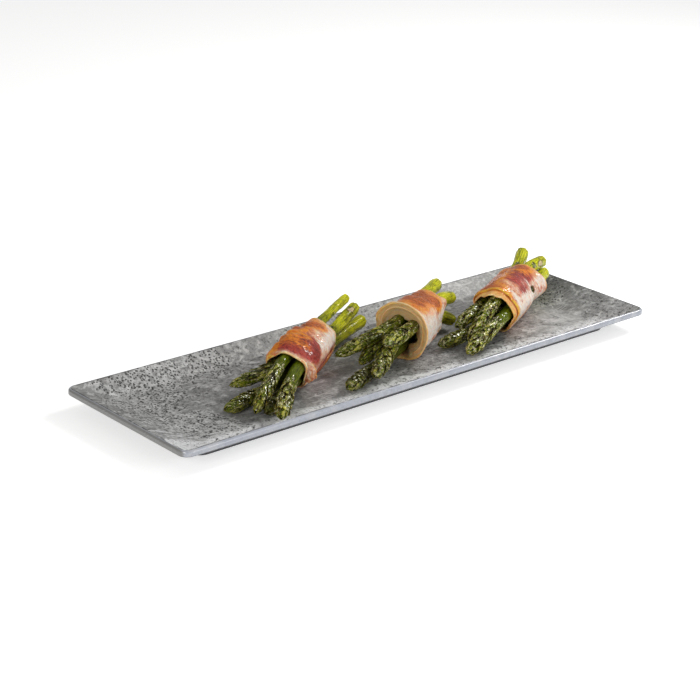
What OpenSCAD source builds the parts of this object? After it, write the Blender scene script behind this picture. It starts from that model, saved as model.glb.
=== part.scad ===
// Rectangular serving tray with a concrete decor and three bundles of asparagus wrapped in bacon.
// Millimetres, +Z up. The origin is the middle of the tray on the surface that it stands on.

/* [Tray] */
// Length of the tray over its rim
tray_l = 530; // [480:1:600]
// Width of the tray over its rim
tray_w = 162; // [150:1:200]
// Height of the rim above the table
tray_h = 20; // [18:0.5:26]
// Depth of the well from the rim to the floor
well_depth = 12; // [9:0.5:13]
// Length of the slope at each end, in plan
end_slope = 38; // [30:1:50]
// Width of the slope along each side, in plan
side_slope = 17; // [14:1:22]
// Half length of the rounding where a slope meets the floor
blend_l = 2.5; // [1:0.5:5]
// Radius of the corners in plan
corner_r = 9; // [8.5:0.5:14]
// Height of the rim's outer face
rim_h = 5.5; // [4.5:0.5:7]
// Width of the rim from its outer face to the well
rim_land = 3.2; // [3:0.2:5]
// Rounding of the rim's upper outer edge
rim_round = 2.2; // [1:0.1:2.4]
// Rounding of the rim's lower outer edge
under_round = 1.4; // [0.6:0.1:2]
// Width of the ledge under the rim
lip_w = 4; // [3:0.5:6]

/* [Foot] */
// Height of the hollow inside the foot ring
foot_h = 3; // [2:0.5:4]
// Width of the foot ring
foot_w = 5; // [3:0.5:7]
// Distance of the foot ring from the rim at each end
foot_end_inset = 28; // [22:1:36]
// Distance of the foot ring from the rim along each side
foot_side_inset = 22; // [18:1:28]
// Radius of the foot ring's corners in plan
foot_r = 12; // [8:1:20]
// Rounding of the foot ring's lower edges
foot_round = 1; // [0.4:0.1:1.4]

/* [Decor] */
// Thickness of the decor sheet
decor_t = 0.6; // [0.4:0.1:1]
// Gap for the adhesive under the decor sheet
decor_gap = 0.05; // [0.02:0.01:0.1]

/* [Asparagus] */
// Length that the places along a spear are shares of
spear_l = 220; // [190:1:230]
// Thickness of a spear of share 1
spear_d = 12; // [10:0.5:13]
// Length of the scaly tip
tip_l = 46; // [35:1:60]
// Height of the scales on the tip
scale_rise = 0.5; // [0.2:0.1:0.8]
// How much narrower the rim of the cut end is
butt_round = 0.5; // [0.2:0.1:0.8]

/* [Bacon] */
// Thickness of the bacon
bacon_t = 2; // [1.4:0.1:2.4]
// Length of the left wrap
left_wrap_l = 76; // [68:1:84]
// Length of the middle wrap
middle_wrap_l = 72; // [64:1:76]
// Length of the right wrap
right_wrap_l = 84; // [76:1:88]
// Slack between the left bundle and its bacon, at the top
left_slack = 3.5; // [1:0.1:4]
// Slack between the middle bundle and its bacon, at the top
middle_slack = 4; // [2:0.1:5]
// Slack between the right bundle and its bacon, at the top
right_slack = 1; // [0.5:0.1:5]
// How far the front edge of the left wrap stands open, at the top
left_flare = 1; // [0:0.5:3]
// How far the front edge of the middle wrap stands open, at the top
middle_flare = 5; // [3:0.5:8]
// How far the front edge of the right wrap stands open, at the top
right_flare = 1; // [0.5:0.5:4]
// How far the edges of a wrap run in and out
edge_wave = 2.5; // [1:0.5:4]

/* [Fit] */
// Clearance between neighbouring spears, and under each bundle
clearance = 0.3; // [0.2:0.05:0.5]

/* [Hidden] */
$fn = 64;

half_l = tray_l / 2;
half_w = tray_w / 2;
floor_z = tray_h - well_depth;
rim_z = tray_h - rim_h;
overrun = 5;

// Places of the bundles, as shares of the tray's length and width, and how far each is turned
left_place_shares = [-0.131, 0.071];
middle_place_shares = [0.0953, 0.0191];
right_place_shares = [0.3157, 0.0074];
left_turn = 31;
middle_turn = 28;
right_turn = 27;

// One row for each spear: its angle round the wrap, 1 in the ring or 0 in the middle of it, how thick
// it is at the tip and at the cut end, then its tip and its cut end as [along, to the left, up]. Along
// is a share of spear_l from the middle of the wrap. The rest are shares of spear_d, and up is measured
// from the tray's floor. A tip that is still inside the wrap stays in line with the others.
left_spear_shares = [
    [8, 1, [0.92, 0.95], [-0.336, 3.13, 0.88], [0.33, 1.17, 1.1]],
    [300, 1, [0.93, 0.98], [-0.518, 2.29, 0.55], [0.4, 0.17, 0.6]],
    [75, 1, [0.88, 0.66], [-0.495, 0.29, 0.55], [0.49, -0.21, 2.67]],
    [228, 1, [0.9, 0.95], [-0.49, -0.5, 0.55], [0.473, -1.58, 1.17]],
    [156, 1, [1, 0.9], [-0.541, -1.79, 0.79], [0.464, -1.04, 2.17]]
];
middle_spear_shares = [
    [64, 1, [0.95, 1], [-0.395, 3.375, 1.17], [0.364, 0.54, 2.5]],
    [352, 1, [0.95, 0.98], [-0.364, 1.74, 0.65], [0.318, 1.08, 1.5]],
    [280, 1, [0.95, 0.98], [-0.605, 1.04, 0.57], [0.318, 0.54, 0.62]],
    [0, 0, [1, 0.95], [-0.518, -0.42, 1.08], [0.332, -0.2, 1.25]],
    [136, 1, [0.95, 0.98], [-0.377, -0.08, 2.5], [0.305, -1, 2]],
    [208, 1, [0.95, 1], [-0.11, -0.9, 1.2], [0.236, -1.58, 0.67]]
];
right_spear_shares = [
    [25, 1, [0.95, 1], [-0.382, 1.83, 1.375], [0.455, 1.5, 2.58]],
    [95, 1, [0.95, 0.98], [-0.432, 0.48, 0.68], [0.4, -0.42, 2.42]],
    [170, 1, [1.02, 0.9], [-0.541, -0.05, 0.65], [0.368, -0.85, 1.72]],
    [305, 1, [0.9, 0.95], [-0.501, 2.39, 0.55], [0.36, 1, 1]],
    [240, 1, [0.95, 0.98], [-0.2, -0.51, 0.73], [0.36, -0.36, 0.92]],
    [0, 0, [0.95, 0.95], [-0.164, 0, 1.5], [0.3, 0.08, 1.58]]
];

// Rings of a spear, as shares of its length from the tip, and the thickness of the tip at shares of tip_l
ring_shares = [0, 0.012, 0.03, 0.05, 0.07, 0.09, 0.11, 0.13, 0.15, 0.17, 0.19, 0.21, 0.24, 0.29,
               0.35, 0.42, 0.5, 0.58, 0.66, 0.74, 0.82, 0.9, 0.96, 0.99, 1];
tip_shape_shares = [[0, 0.3], [0.06, 0.62], [0.16, 0.88], [0.32, 1.04], [0.5, 1.06], [0.75, 0.97], [1, 0.88]];
spear_sides = 10;
ring_places = 5;

wrap_sides = 30;
wrap_steps = 8;

// Angle round each wrap of the bacon's outer end at the front, and how far round it has run by the back
left_seam = 200;
left_seam_run = 40;
middle_seam = 150;
middle_seam_run = -30;
right_seam = 215;
right_seam_run = -30;

// Upper face of the tray at a place in plan
function tray_top(x, y) =
    let (
        end = (abs(x) - half_l + rim_land + end_slope) / end_slope,
        side = (abs(y) - half_w + rim_land + side_slope) / side_slope
    )
    floor_z + well_depth * min(1, max(0, end, side));

// Value of a table of [place, value] rows at x, straight between rows
function table(rows, x, i = 0) =
    i + 2 >= len(rows) || x < rows[i + 1][0]
        ? rows[i][1] + (rows[i + 1][1] - rows[i][1]) * (x - rows[i][0]) / (rows[i + 1][0] - rows[i][0])
        : table(rows, x, i + 1);

// A wrap is [length, slack, flare, seam, run of the seam]
left_band = [left_wrap_l, left_slack, left_flare, left_seam, left_seam_run];
middle_band = [middle_wrap_l, middle_slack, middle_flare, middle_seam, middle_seam_run];
right_band = [right_wrap_l, right_slack, right_flare, right_seam, right_seam_run];

// A bundle is [place, turn, spear rows, wrap]
left_bundle = [left_place_shares, left_turn, left_spear_shares, left_band];
middle_bundle = [middle_place_shares, middle_turn, middle_spear_shares, middle_band];
right_bundle = [right_place_shares, right_turn, right_spear_shares, right_band];

function bundle_x(bundle) = bundle[0][0] * tray_l;
function bundle_y(bundle) = bundle[0][1] * tray_w;
function bundle_rows(bundle) = bundle[2];
function wrap_half(bundle) = bundle[3][0] / 2;
function wrap_slack(bundle) = bundle[3][1];
function wrap_flare(bundle) = bundle[3][2];

// Radius of the ring on which the spears lie side by side inside the wrap, round a middle one or none
function has_core(bundle) = min([for (row = bundle_rows(bundle)) row[1]]) == 0;
function ring_r(bundle) =
    let (pitch = spear_d + clearance)
    has_core(bundle) ? pitch : pitch / (2 * sin(180 / ring_places));
function belt_v(bundle, i) = bundle_rows(bundle)[i][1] * ring_r(bundle) * cos(bundle_rows(bundle)[i][0]);
function belt_rise(bundle, i) = bundle_rows(bundle)[i][1] * ring_r(bundle) * sin(bundle_rows(bundle)[i][0]);
function spear_r(bundle, i) = bundle_rows(bundle)[i][2][0] * spear_d / 2;
function butt_r(bundle, i) = bundle_rows(bundle)[i][2][1] * spear_d / 2;

// Thickness of a wrap at an angle: its outer end lies on the layer below, so it is two layers thick there
function layers(bundle, angle, s) =
    bacon_t * (1 + ((angle - bundle[3][3] - bundle[3][4] * s + 720) % 360) / 360);

// Height of the spears' ring, so that the wrap's underside lies just clear of the tray
function belt_z(bundle) =
    let (
        last = len(bundle_rows(bundle)) - 1,
        lowest = min([for (i = [0 : last]) belt_rise(bundle, i) - spear_r(bundle, i)]),
        under = max(layers(bundle, 270, 0), layers(bundle, 270, 1))
    )
    floor_z + 2 * clearance + under - lowest;

// A cantilever's bend: level at 0 where the wrap holds the spear, and 1 at its free end
function bend(s) = (3 * s * s - s * s * s) / 2;

// Free end of a spear in the bundle's own frame, lifted where the tray's slope would meet it
function end_point(bundle, i, which) =
    let (
        p = bundle_rows(bundle)[i][which],
        u = p[0] * spear_l,
        v = p[1] * spear_d,
        x = bundle_x(bundle) + u * cos(bundle[1]) - v * sin(bundle[1]),
        y = bundle_y(bundle) + u * sin(bundle[1]) + v * cos(bundle[1]),
        r = which == 3 ? spear_r(bundle, i) * tip_shape_shares[0][1] : butt_r(bundle, i)
    )
    [u, v, max(floor_z + p[2] * spear_d, tray_top(x, y) + clearance + r)];

// Axis of a spear at a distance u along the bundle
function axis_point(bundle, i, u) =
    let (
        held = [0, belt_v(bundle, i), belt_z(bundle) + belt_rise(bundle, i)],
        free = end_point(bundle, i, u < 0 ? 3 : 4),
        grip = wrap_half(bundle),
        s = min(1, max(0, abs(u) - grip) / max(clearance, abs(free[0]) - grip)),
        b = bend(s)
    )
    [u, held[1] + (free[1] - held[1]) * b, held[2] + (free[2] - held[2]) * b];

// Radius of a spear at a distance from its tip
function stem_r(bundle, i, from_tip, length) =
    let (
        neck = spear_r(bundle, i) * tip_shape_shares[len(tip_shape_shares) - 1][1],
        below = max(0, from_tip - tip_l) / (length - tip_l)
    )
    from_tip < tip_l
        ? spear_r(bundle, i) * table(tip_shape_shares, from_tip / tip_l)
        : neck + (butt_r(bundle, i) - neck) * below;

// One spear: rings square to its axis, closed by a flat face at each end
module spear(bundle, i) {
    tip = end_point(bundle, i, 3);
    butt = end_point(bundle, i, 4);
    length = butt[0] - tip[0];
    last = len(ring_shares) - 1;
    points = [for (k = [0 : last])
        let (
            u = tip[0] + ring_shares[k] * length,
            step = length * ring_shares[1],
            p = axis_point(bundle, i, u),
            ahead = axis_point(bundle, i, min(u + step, butt[0])),
            behind = axis_point(bundle, i, max(u - step, tip[0])),
            along = (ahead - behind) / norm(ahead - behind),
            side = cross([0, 0, 1], along) / norm(cross([0, 0, 1], along)),
            up = cross(along, side),
            in_tip = k > 1 && ring_shares[k] * length < tip_l,
            r = stem_r(bundle, i, ring_shares[k] * length, length) - (k == last ? butt_round : 0)
        )
        for (j = [0 : spear_sides - 1])
        let (
            angle = 360 * j / spear_sides,
            dent = in_tip && (j + k) % 2 == 0 ? scale_rise : 0
        )
        p + (r - dent) * (cos(angle) * side + sin(angle) * up)];
    sides = [for (k = [0 : last - 1], j = [0 : spear_sides - 1])
        let (a = k * spear_sides + j, b = k * spear_sides + (j + 1) % spear_sides)
        each [[a, a + spear_sides, b], [b, a + spear_sides, b + spear_sides]]];
    start = [for (j = [0 : spear_sides - 1]) j];
    end = [for (j = [spear_sides - 1 : -1 : 0]) last * spear_sides + j];
    polyhedron(points, concat(sides, [start, end]), convexity = 4);
}

module in_bundle(bundle) {
    translate([bundle_x(bundle), bundle_y(bundle), 0]) rotate([0, 0, bundle[1]]) children();
}

// Plan outline of the tray or a part of it, rounded at its corners
module plan_outline(half_x, half_y, r) {
    square([2 * half_x, 2 * (half_y - r)], center = true);
    square([2 * (half_x - r), 2 * half_y], center = true);
    for (sx = [-1, 1], sy = [-1, 1]) translate([sx * (half_x - r), sy * (half_y - r)]) circle(r);
}

// Sweeps a section round a rounded rectangle. The section's x runs inwards from the outline.
module sweep_round(half_x, half_y, r) {
    run_x = half_x - r;
    run_y = half_y - r;
    for (turn = [0, 180]) rotate([0, 0, turn]) {
        translate([-half_x, 0, 0]) rotate([90, 0, 0]) linear_extrude(2 * run_y, center = true) children();
        translate([0, -half_y, 0]) rotate([90, 0, 90]) linear_extrude(2 * run_x, center = true) children();
        translate([-run_x, -run_y, 0]) rotate([0, 0, 180]) rotate_extrude(angle = 90)
            translate([r, 0]) mirror([1, 0]) children();
        translate([run_x, -run_y, 0]) rotate([0, 0, 270]) rotate_extrude(angle = 90)
            translate([r, 0]) mirror([1, 0]) children();
    }
}

// Section of the well across the floor: a flat floor, two slopes, and a round where they meet
module well_section(half_open, slope) {
    half_floor = half_open - slope;
    angle = atan(well_depth / slope);
    r = blend_l / tan(angle / 2);
    top = [half_open + overrun / tan(angle), tray_h + overrun];
    knee = [half_floor + blend_l * cos(angle), floor_z + blend_l * sin(angle)];
    toe = [half_floor - blend_l, floor_z];
    polygon([top, knee, toe, [-toe[0], toe[1]], [-knee[0], knee[1]], [-top[0], top[1]]]);
    for (s = [-1, 1]) translate([s * toe[0], floor_z + r]) circle(r);
}

// The space inside the tray. The two sections cross, so the slopes meet in mitred corners.
module well() {
    half_x = half_l - rim_land;
    half_y = half_w - rim_land;
    intersection() {
        rotate([90, 0, 0]) linear_extrude(tray_w, center = true) well_section(half_x, end_slope);
        rotate([90, 0, 90]) linear_extrude(tray_l, center = true) well_section(half_y, side_slope);
        linear_extrude(tray_h + overrun) plan_outline(half_x, half_y, corner_r - rim_land);
    }
}

// What the decor sheet takes up, at a given thickness, before the well is cut out of it
module decor_bed(thickness) {
    inset = rim_round;
    translate([0, 0, -thickness]) well();
    translate([0, 0, tray_h - thickness]) linear_extrude(thickness)
        plan_outline(half_l - inset, half_w - inset, corner_r - inset);
}

module rim_section() {
    band = corner_r - rim_round / 2;
    translate([rim_round, rim_z]) square([band - rim_round, rim_h]);
    translate([under_round, rim_z]) square([band - under_round, rim_h - rim_round]);
    translate([0, rim_z + under_round]) square([band, rim_h - rim_round - under_round]);
    translate([rim_round, tray_h - rim_round]) circle(rim_round);
    translate([under_round, rim_z + under_round]) circle(under_round);
}

module foot_section() {
    translate([0, foot_round]) square([foot_w, floor_z - foot_round]);
    translate([foot_round, 0]) square([foot_w - 2 * foot_round, foot_round * 2]);
    translate([foot_round, foot_round]) circle(foot_round);
    translate([foot_w - foot_round, foot_round]) circle(foot_round);
}

// Section of the tray's outside, whose slopes run parallel to the well's
module shell_section(half_top, slope) {
    half_base = half_top - (rim_z - foot_h) * slope / well_depth;
    polygon([[half_top, tray_h], [half_top, rim_z], [half_base, foot_h],
             [-half_base, foot_h], [-half_top, rim_z], [-half_top, tray_h]]);
}

module tray() {
    half_x = half_l - lip_w;
    half_y = half_w - lip_w;
    color("#a4a5a6") difference() {
        union() {
            intersection() {
                rotate([90, 0, 0]) linear_extrude(tray_w, center = true) shell_section(half_x, end_slope);
                rotate([90, 0, 90]) linear_extrude(tray_l, center = true) shell_section(half_y, side_slope);
                linear_extrude(tray_h) plan_outline(half_x, half_y, corner_r - lip_w);
            }
            sweep_round(half_l, half_w, corner_r) rim_section();
            sweep_round(half_l - foot_end_inset, half_w - foot_side_inset, foot_r) foot_section();
        }
        decor_bed(decor_t + decor_gap);
        well();
    }
}

module concrete_decor() {
    inset = rim_round + decor_gap;
    color("#8d8b87") difference() {
        intersection() {
            decor_bed(decor_t);
            linear_extrude(tray_h) plan_outline(half_l - inset, half_w - inset, corner_r - inset);
        }
        well();
    }
}

module spear_piece(bundle, i) {
    color("#5d7a26") in_bundle(bundle) spear(bundle, i);
}

// Point of a wrap: the spear that reaches furthest towards an angle carries the bacon there
function wrap_point(bundle, u, angle, out) =
    let (
        n = [0, cos(angle), sin(angle)],
        reaches = [for (i = [0 : len(bundle_rows(bundle)) - 1])
            axis_point(bundle, i, u) * n + spear_r(bundle, i)],
        i = search(max(reaches), reaches)[0]
    )
    axis_point(bundle, i, u) + n * (spear_r(bundle, i) + out);

// The bacon: a strip wound round the bundle, so that it is one layer thick beside its outer edge and
// two layers thick on it. Its weight rests on the tray, so slack and flare show at the top.
module wrap(bundle) {
    spots = [for (k = [0 : wrap_steps], j = [0 : wrap_sides - 1])
        let (
            angle = 360 * j / wrap_sides,
            s = k / wrap_steps,
            u = (2 * s - 1) * (wrap_half(bundle) + edge_wave * sin(2 * angle + bundle[3][3])),
            loose = wrap_slack(bundle) + wrap_flare(bundle) * (1 - s) * (1 - s),
            inner = clearance + loose * (1 + sin(angle)) / 2
        )
        [u, angle, inner, inner + layers(bundle, angle, s)]];
    outside = [for (p = spots) wrap_point(bundle, p[0], p[1], p[3])];
    inside = [for (p = spots) wrap_point(bundle, p[0], p[1], p[2])];
    count = len(spots);
    n = wrap_sides;
    skins = [for (k = [0 : wrap_steps - 1], j = [0 : n - 1])
        let (a = k * n + j, b = k * n + (j + 1) % n)
        each [[a, a + n, b], [b, a + n, b + n],
              [count + a, count + b, count + a + n], [count + b, count + b + n, count + a + n]]];
    rims = [for (j = [0 : n - 1])
        let (a = j, b = (j + 1) % n, c = count - n + j, d = count - n + (j + 1) % n)
        each [[a, b, count + a], [b, count + b, count + a],
              [c, count + c, d], [d, count + c, count + d]]];
    polyhedron(concat(outside, inside), concat(skins, rims), convexity = 6);
}

module left_wrap() {
    color("#c9705a") in_bundle(left_bundle) wrap(left_bundle);
}

module middle_wrap() {
    color("#d08a63") in_bundle(middle_bundle) wrap(middle_bundle);
}

module right_wrap() {
    color("#d3826a") in_bundle(right_bundle) wrap(right_bundle);
}

tray();
concrete_decor();
left_wrap();
spear_piece(left_bundle, 0);  // left_spear_1
spear_piece(left_bundle, 1);  // left_spear_2
spear_piece(left_bundle, 2);  // left_spear_3
spear_piece(left_bundle, 3);  // left_spear_4
spear_piece(left_bundle, 4);  // left_spear_5
middle_wrap();
spear_piece(middle_bundle, 0);  // middle_spear_1
spear_piece(middle_bundle, 1);  // middle_spear_2
spear_piece(middle_bundle, 2);  // middle_spear_3
spear_piece(middle_bundle, 3);  // middle_spear_4
spear_piece(middle_bundle, 4);  // middle_spear_5
spear_piece(middle_bundle, 5);  // middle_spear_6
right_wrap();
spear_piece(right_bundle, 0);  // right_spear_1
spear_piece(right_bundle, 1);  // right_spear_2
spear_piece(right_bundle, 2);  // right_spear_3
spear_piece(right_bundle, 3);  // right_spear_4
spear_piece(right_bundle, 4);  // right_spear_5
spear_piece(right_bundle, 5);  // right_spear_6
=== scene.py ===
"""Dresses a rectangular serving tray and its three bundles of roasted asparagus in bacon."""
import math

import bpy
import numpy as np
from bpy.props import FloatProperty, FloatVectorProperty, IntProperty, PointerProperty
from mathutils import Matrix


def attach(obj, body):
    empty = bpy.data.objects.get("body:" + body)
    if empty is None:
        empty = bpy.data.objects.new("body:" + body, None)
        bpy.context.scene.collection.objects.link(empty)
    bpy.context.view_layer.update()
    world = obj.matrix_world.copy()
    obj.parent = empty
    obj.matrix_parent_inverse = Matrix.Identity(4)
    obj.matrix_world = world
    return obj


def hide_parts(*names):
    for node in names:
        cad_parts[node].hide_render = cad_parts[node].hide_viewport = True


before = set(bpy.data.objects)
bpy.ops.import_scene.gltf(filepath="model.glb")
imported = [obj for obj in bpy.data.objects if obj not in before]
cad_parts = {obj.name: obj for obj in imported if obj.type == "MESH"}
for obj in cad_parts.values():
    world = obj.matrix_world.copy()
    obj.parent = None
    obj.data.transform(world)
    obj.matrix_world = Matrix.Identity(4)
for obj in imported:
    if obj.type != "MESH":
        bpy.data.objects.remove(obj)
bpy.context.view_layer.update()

bl_info = {
    "name": "Asparagus Serving Tray",
    "version": (1, 0, 0),
    "blender": (4, 5, 0),
    "location": "View3D > Sidebar > Asparagus Tray",
    "description": "Roasted spears, bacon wraps and a concrete finish for a serving tray",
    "category": "Add Mesh",
}

MM = 0.001

# Sizes of the tray and its spears in millimetres, the same as in the CAD model
TRAY_L, TRAY_W, TRAY_H = 530.0, 162.0, 20.0
WELL_DEPTH, END_SLOPE, SIDE_SLOPE, RIM_LAND = 12.0, 38.0, 17.0, 3.2
FLOOR_Z = TRAY_H - WELL_DEPTH
CLEARANCE = 0.3
SPEAR_L, SPEAR_D, TIP_L = 220.0, 12.0, 46.0
RING_PLACES = 5
# Shares of the tip's length and of the spear's radius there
TIP_SHARES = np.array([
    (0, 0.3), (0.06, 0.62), (0.16, 0.88), (0.32, 1.04), (0.5, 1.06), (0.75, 0.97), (1, 0.88)])
GOLDEN_ANGLE = math.radians(137.5)


def srgb(red, green, blue):
    """Linear colour of an 8-bit sRGB one."""
    def linear(level):
        level /= 255
        return level / 12.92 if level <= 0.04045 else ((level + 0.055) / 1.055) ** 2.4
    return tuple(linear(level) for level in (red, green, blue))


# Settings

def tint(name, description, red, green, blue):
    """Colour that can be chosen, with an 8-bit sRGB default."""
    return FloatVectorProperty(name=name, description=description, subtype="COLOR",
                               default=srgb(red, green, blue))


def span(name, description, size, low, high):
    """Length that can be chosen, with its default and limits in millimetres."""
    return FloatProperty(name=name, description=description, default=size * MM, min=low * MM, max=high * MM,
                         subtype="DISTANCE", unit="LENGTH")


def power(name, description, watts):
    """Power of a lamp that can be chosen."""
    return FloatProperty(name=name, description=description, default=watts, min=0, unit="POWER")


class TrayLooks(bpy.types.PropertyGroup):
    """Finish of the tray and its concrete decor"""
    concrete: tint("Concrete", "Main grey of the decor", 134, 134, 133)
    blotch: tint("Blotch", "Colour of the darker patches", 112, 111, 110)
    # Also the colour of the painted shade at the back of the right end
    speckle_and_shade: tint("Speckle", "Colour of the dark speckles", 62, 61, 60)
    pit: tint("Pit", "Colour inside the pits", 38, 38, 38)
    # Painted highlight: colour of the pale band painted along the front of the well and near the front of the
    # left end
    painted_highlight: tint("Pale band", "Colour of the pale band along the front", 246, 247, 248)
    # Painted shade: darker grey painted on the rim's left end
    end: tint("Left end", "Colour of the rim's left end", 126, 125, 121)
    # Also the colour of the painted highlight on the floor near the right end
    smear_and_highlight: tint("Smear", "Colour of the pale smears", 212, 212, 211)
    melamine: tint("Melamine", "Colour of the moulded body", 172, 176, 186)
    # Painted shade: dark grey painted on the base and on the lowest part of the rim's face
    base: tint("Base", "Colour of the base under the rim", 58, 58, 62)
    relief: span("Relief", "Depth of the decor's pits", 0.2, 0, 1)


class SpearLooks(bpy.types.PropertyGroup):
    """Shape of the bracts and colours of the asparagus"""
    stem: tint("Stem", "Green of the stems", 116, 134, 2)
    shade: tint("Stem shade", "Dark green of the stems", 60, 74, 4)
    cut: tint("Cut end", "Yellow-green near the cut ends", 238, 238, 10)
    cut_shade: tint("Cut end shade", "Darker green near the cut ends", 126, 142, 0)
    # Partly painted highlight: pale green of raised fibres and of the points of bracts
    pale: tint("Pale green", "Colour of raised fibres and of the points of bracts", 220, 216, 96)
    bract: tint("Bract", "Green of the bracts", 108, 126, 0)
    # Painted highlight: cream glints painted on the bracts
    glint: tint("Painted glints", "Colour of the glints painted on the bracts", 255, 246, 196)
    tip: tint("Tip", "Olive of the tips", 54, 58, 2)
    # Painted shade: dark brown painted between and under the bracts, also used for random dark spots on them
    gap: tint("Gap", "Colour between the bracts", 34, 28, 6)
    char: tint("Charred", "Colour of the charred spots", 78, 54, 20)
    roasted: tint("Bract edges", "Colour of the roasted edges of the bracts", 142, 104, 44)
    # Dull green: the most roasted spears, and painted shade on spears and cut ends that lie in shadow
    dull: tint("Dull green", "Colour of the most roasted spears and of painted shade on spears", 64, 64, 16)
    peel: tint("Peel", "Colour where the skin has blistered", 226, 206, 160)
    bract_rise: span("Bract rise", "How far the points of the bracts stand out", 0.95, 0, 3)
    tip_bracts: IntProperty(name="Bracts on a tip", description="Number of bracts that cover a tip",
                            default=84, min=10, max=110)


class BaconLooks(bpy.types.PropertyGroup):
    """Thickness and colours of the bacon"""
    thickness: span("Thickness", "Thickness of one layer", 1.7, 1, 3)
    lean: tint("Lean", "Colour of the lean meat", 216, 136, 98)
    pink: tint("Pink", "Colour of the palest meat", 244, 196, 172)
    cured: tint("Dark lean", "Colour of the dark meat", 164, 60, 50)
    deep: tint("Darkest lean", "Colour of the darkest meat", 120, 30, 20)
    fat: tint("Fat", "Colour of the fat", 255, 232, 214)
    rind: tint("Rind", "Colour of the fat along the edges", 255, 170, 50)
    # Inner face: paler than the outside, partly the bacon's own underside and partly painted light inside the
    # mouths
    lining: tint("Inside", "Colour of the inner face", 255, 196, 122)
    crisp: tint("Browned", "Colour where the bacon is browned", 242, 136, 26)
    scorched: tint("Scorched", "Colour where the bacon is scorched", 150, 62, 16)


class StageLooks(bpy.types.PropertyGroup):
    """Floor, light and camera"""
    floor: FloatVectorProperty(name="Floor", description="Colour of the floor", subtype="COLOR",
                               default=(0.86, 0.86, 0.86))
    key: power("Key light", "Power of the light on the right", 11.4)
    front: power("Front light", "Power of the lower light in front", 9.8)
    side: power("Side light", "Power of the light on the left", 10.8)
    fill: FloatProperty(name="Fill", description="Strength of the even light from all round",
                        default=0.26, min=0)
    focal: FloatProperty(name="Focal length", description="Focal length on a 36 mm sensor",
                         default=99.62, min=10, subtype="DISTANCE_CAMERA")


# Shapes of the bundles, as in the CAD model

def tray_top(x, y):
    """Height of the tray's upper face at a place in plan."""
    end = (abs(x) - TRAY_L / 2 + RIM_LAND + END_SLOPE) / END_SLOPE
    side = (abs(y) - TRAY_W / 2 + RIM_LAND + SIDE_SLOPE) / SIDE_SLOPE
    return FLOOR_Z + WELL_DEPTH * min(1, max(0, end, side))


# Farthest direction in degrees that can still bound the outline of a bundle at a place
WIDEST = 75


class Bundle:
    """Spears held side by side in a wrap. Places are [along, to the left, above the floor] in millimetres."""

    def __init__(self, name, place_share, turn, wrap_l, under, spears):
        self.name = name
        self.x, self.y = place_share[0] * TRAY_L, place_share[1] * TRAY_W
        self.turn = math.radians(turn)
        self.grip = wrap_l / 2
        pitch = SPEAR_D + CLEARANCE
        has_middle = any(not row[1] for row in spears)
        ring = pitch if has_middle else pitch / (2 * math.sin(math.pi / RING_PLACES))
        self.slots = [(out * ring * math.cos(math.radians(angle)), out * ring * math.sin(math.radians(angle)))
                      for angle, out, *_ in spears]
        self.radii = [row[2][0] * SPEAR_D / 2 for row in spears]
        self.butt_radii = [row[2][1] * SPEAR_D / 2 for row in spears]
        self.tips = [self.seated(row[3], r * TIP_SHARES[0, 1]) for row, r in zip(spears, self.radii)]
        self.butts = [self.seated(row[4], r) for row, r in zip(spears, self.butt_radii)]
        held = list(zip(self.slots, self.radii))
        self.belt = 2 * CLEARANCE + under - min(slot[1] - r for slot, r in held)
        turns = np.radians(np.arange(360))
        support = np.max([v * np.cos(turns) + w * np.sin(turns) + r for (v, w), r in held], axis=0)
        reaches = [(k, math.cos(math.radians(k))) for k in range(-WIDEST, WIDEST + 1)]
        self.outline = np.array([min(support[(a + k) % 360] / c for k, c in reaches) for a in range(360)])

    def seated(self, share, r):
        """An end of a spear, lifted where the tray's slope would meet it."""
        u, v = share[0] * SPEAR_L, share[1] * SPEAR_D
        x, y, _ = self.placed(np.array([u, v, 0.0])) / MM
        return np.array([u, v, max(share[2] * SPEAR_D, tray_top(x, y) - FLOOR_Z + CLEARANCE + r)])

    def placed(self, points):
        """Places in the bundle as places in the shared frame, in metres."""
        u, v, w = points[..., 0], points[..., 1], points[..., 2]
        c, s = math.cos(self.turn), math.sin(self.turn)
        return np.stack([self.x + u * c - v * s, self.y + u * s + v * c, w + FLOOR_Z], axis=-1) * MM

    def axis(self, i, u):
        """Centre line of a spear: held in the wrap, and bent like a cantilever outside it."""
        free = np.where((u < 0)[:, None], self.tips[i], self.butts[i])
        s = np.clip((abs(u) - self.grip) / np.maximum(CLEARANCE, abs(free[:, 0]) - self.grip), 0, 1)
        bend = (3 * s * s - s ** 3) / 2
        v, w = self.slots[i][0], self.slots[i][1] + self.belt
        return np.stack([u, v + (free[:, 1] - v) * bend, w + (free[:, 2] - w) * bend], axis=-1)

    def reach(self, angle):
        """Distance from the middle of the wrap to the outside of the spears, at angles in degrees."""
        return np.interp(np.mod(angle, 360), np.arange(361), np.append(self.outline, self.outline[0]))


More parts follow.
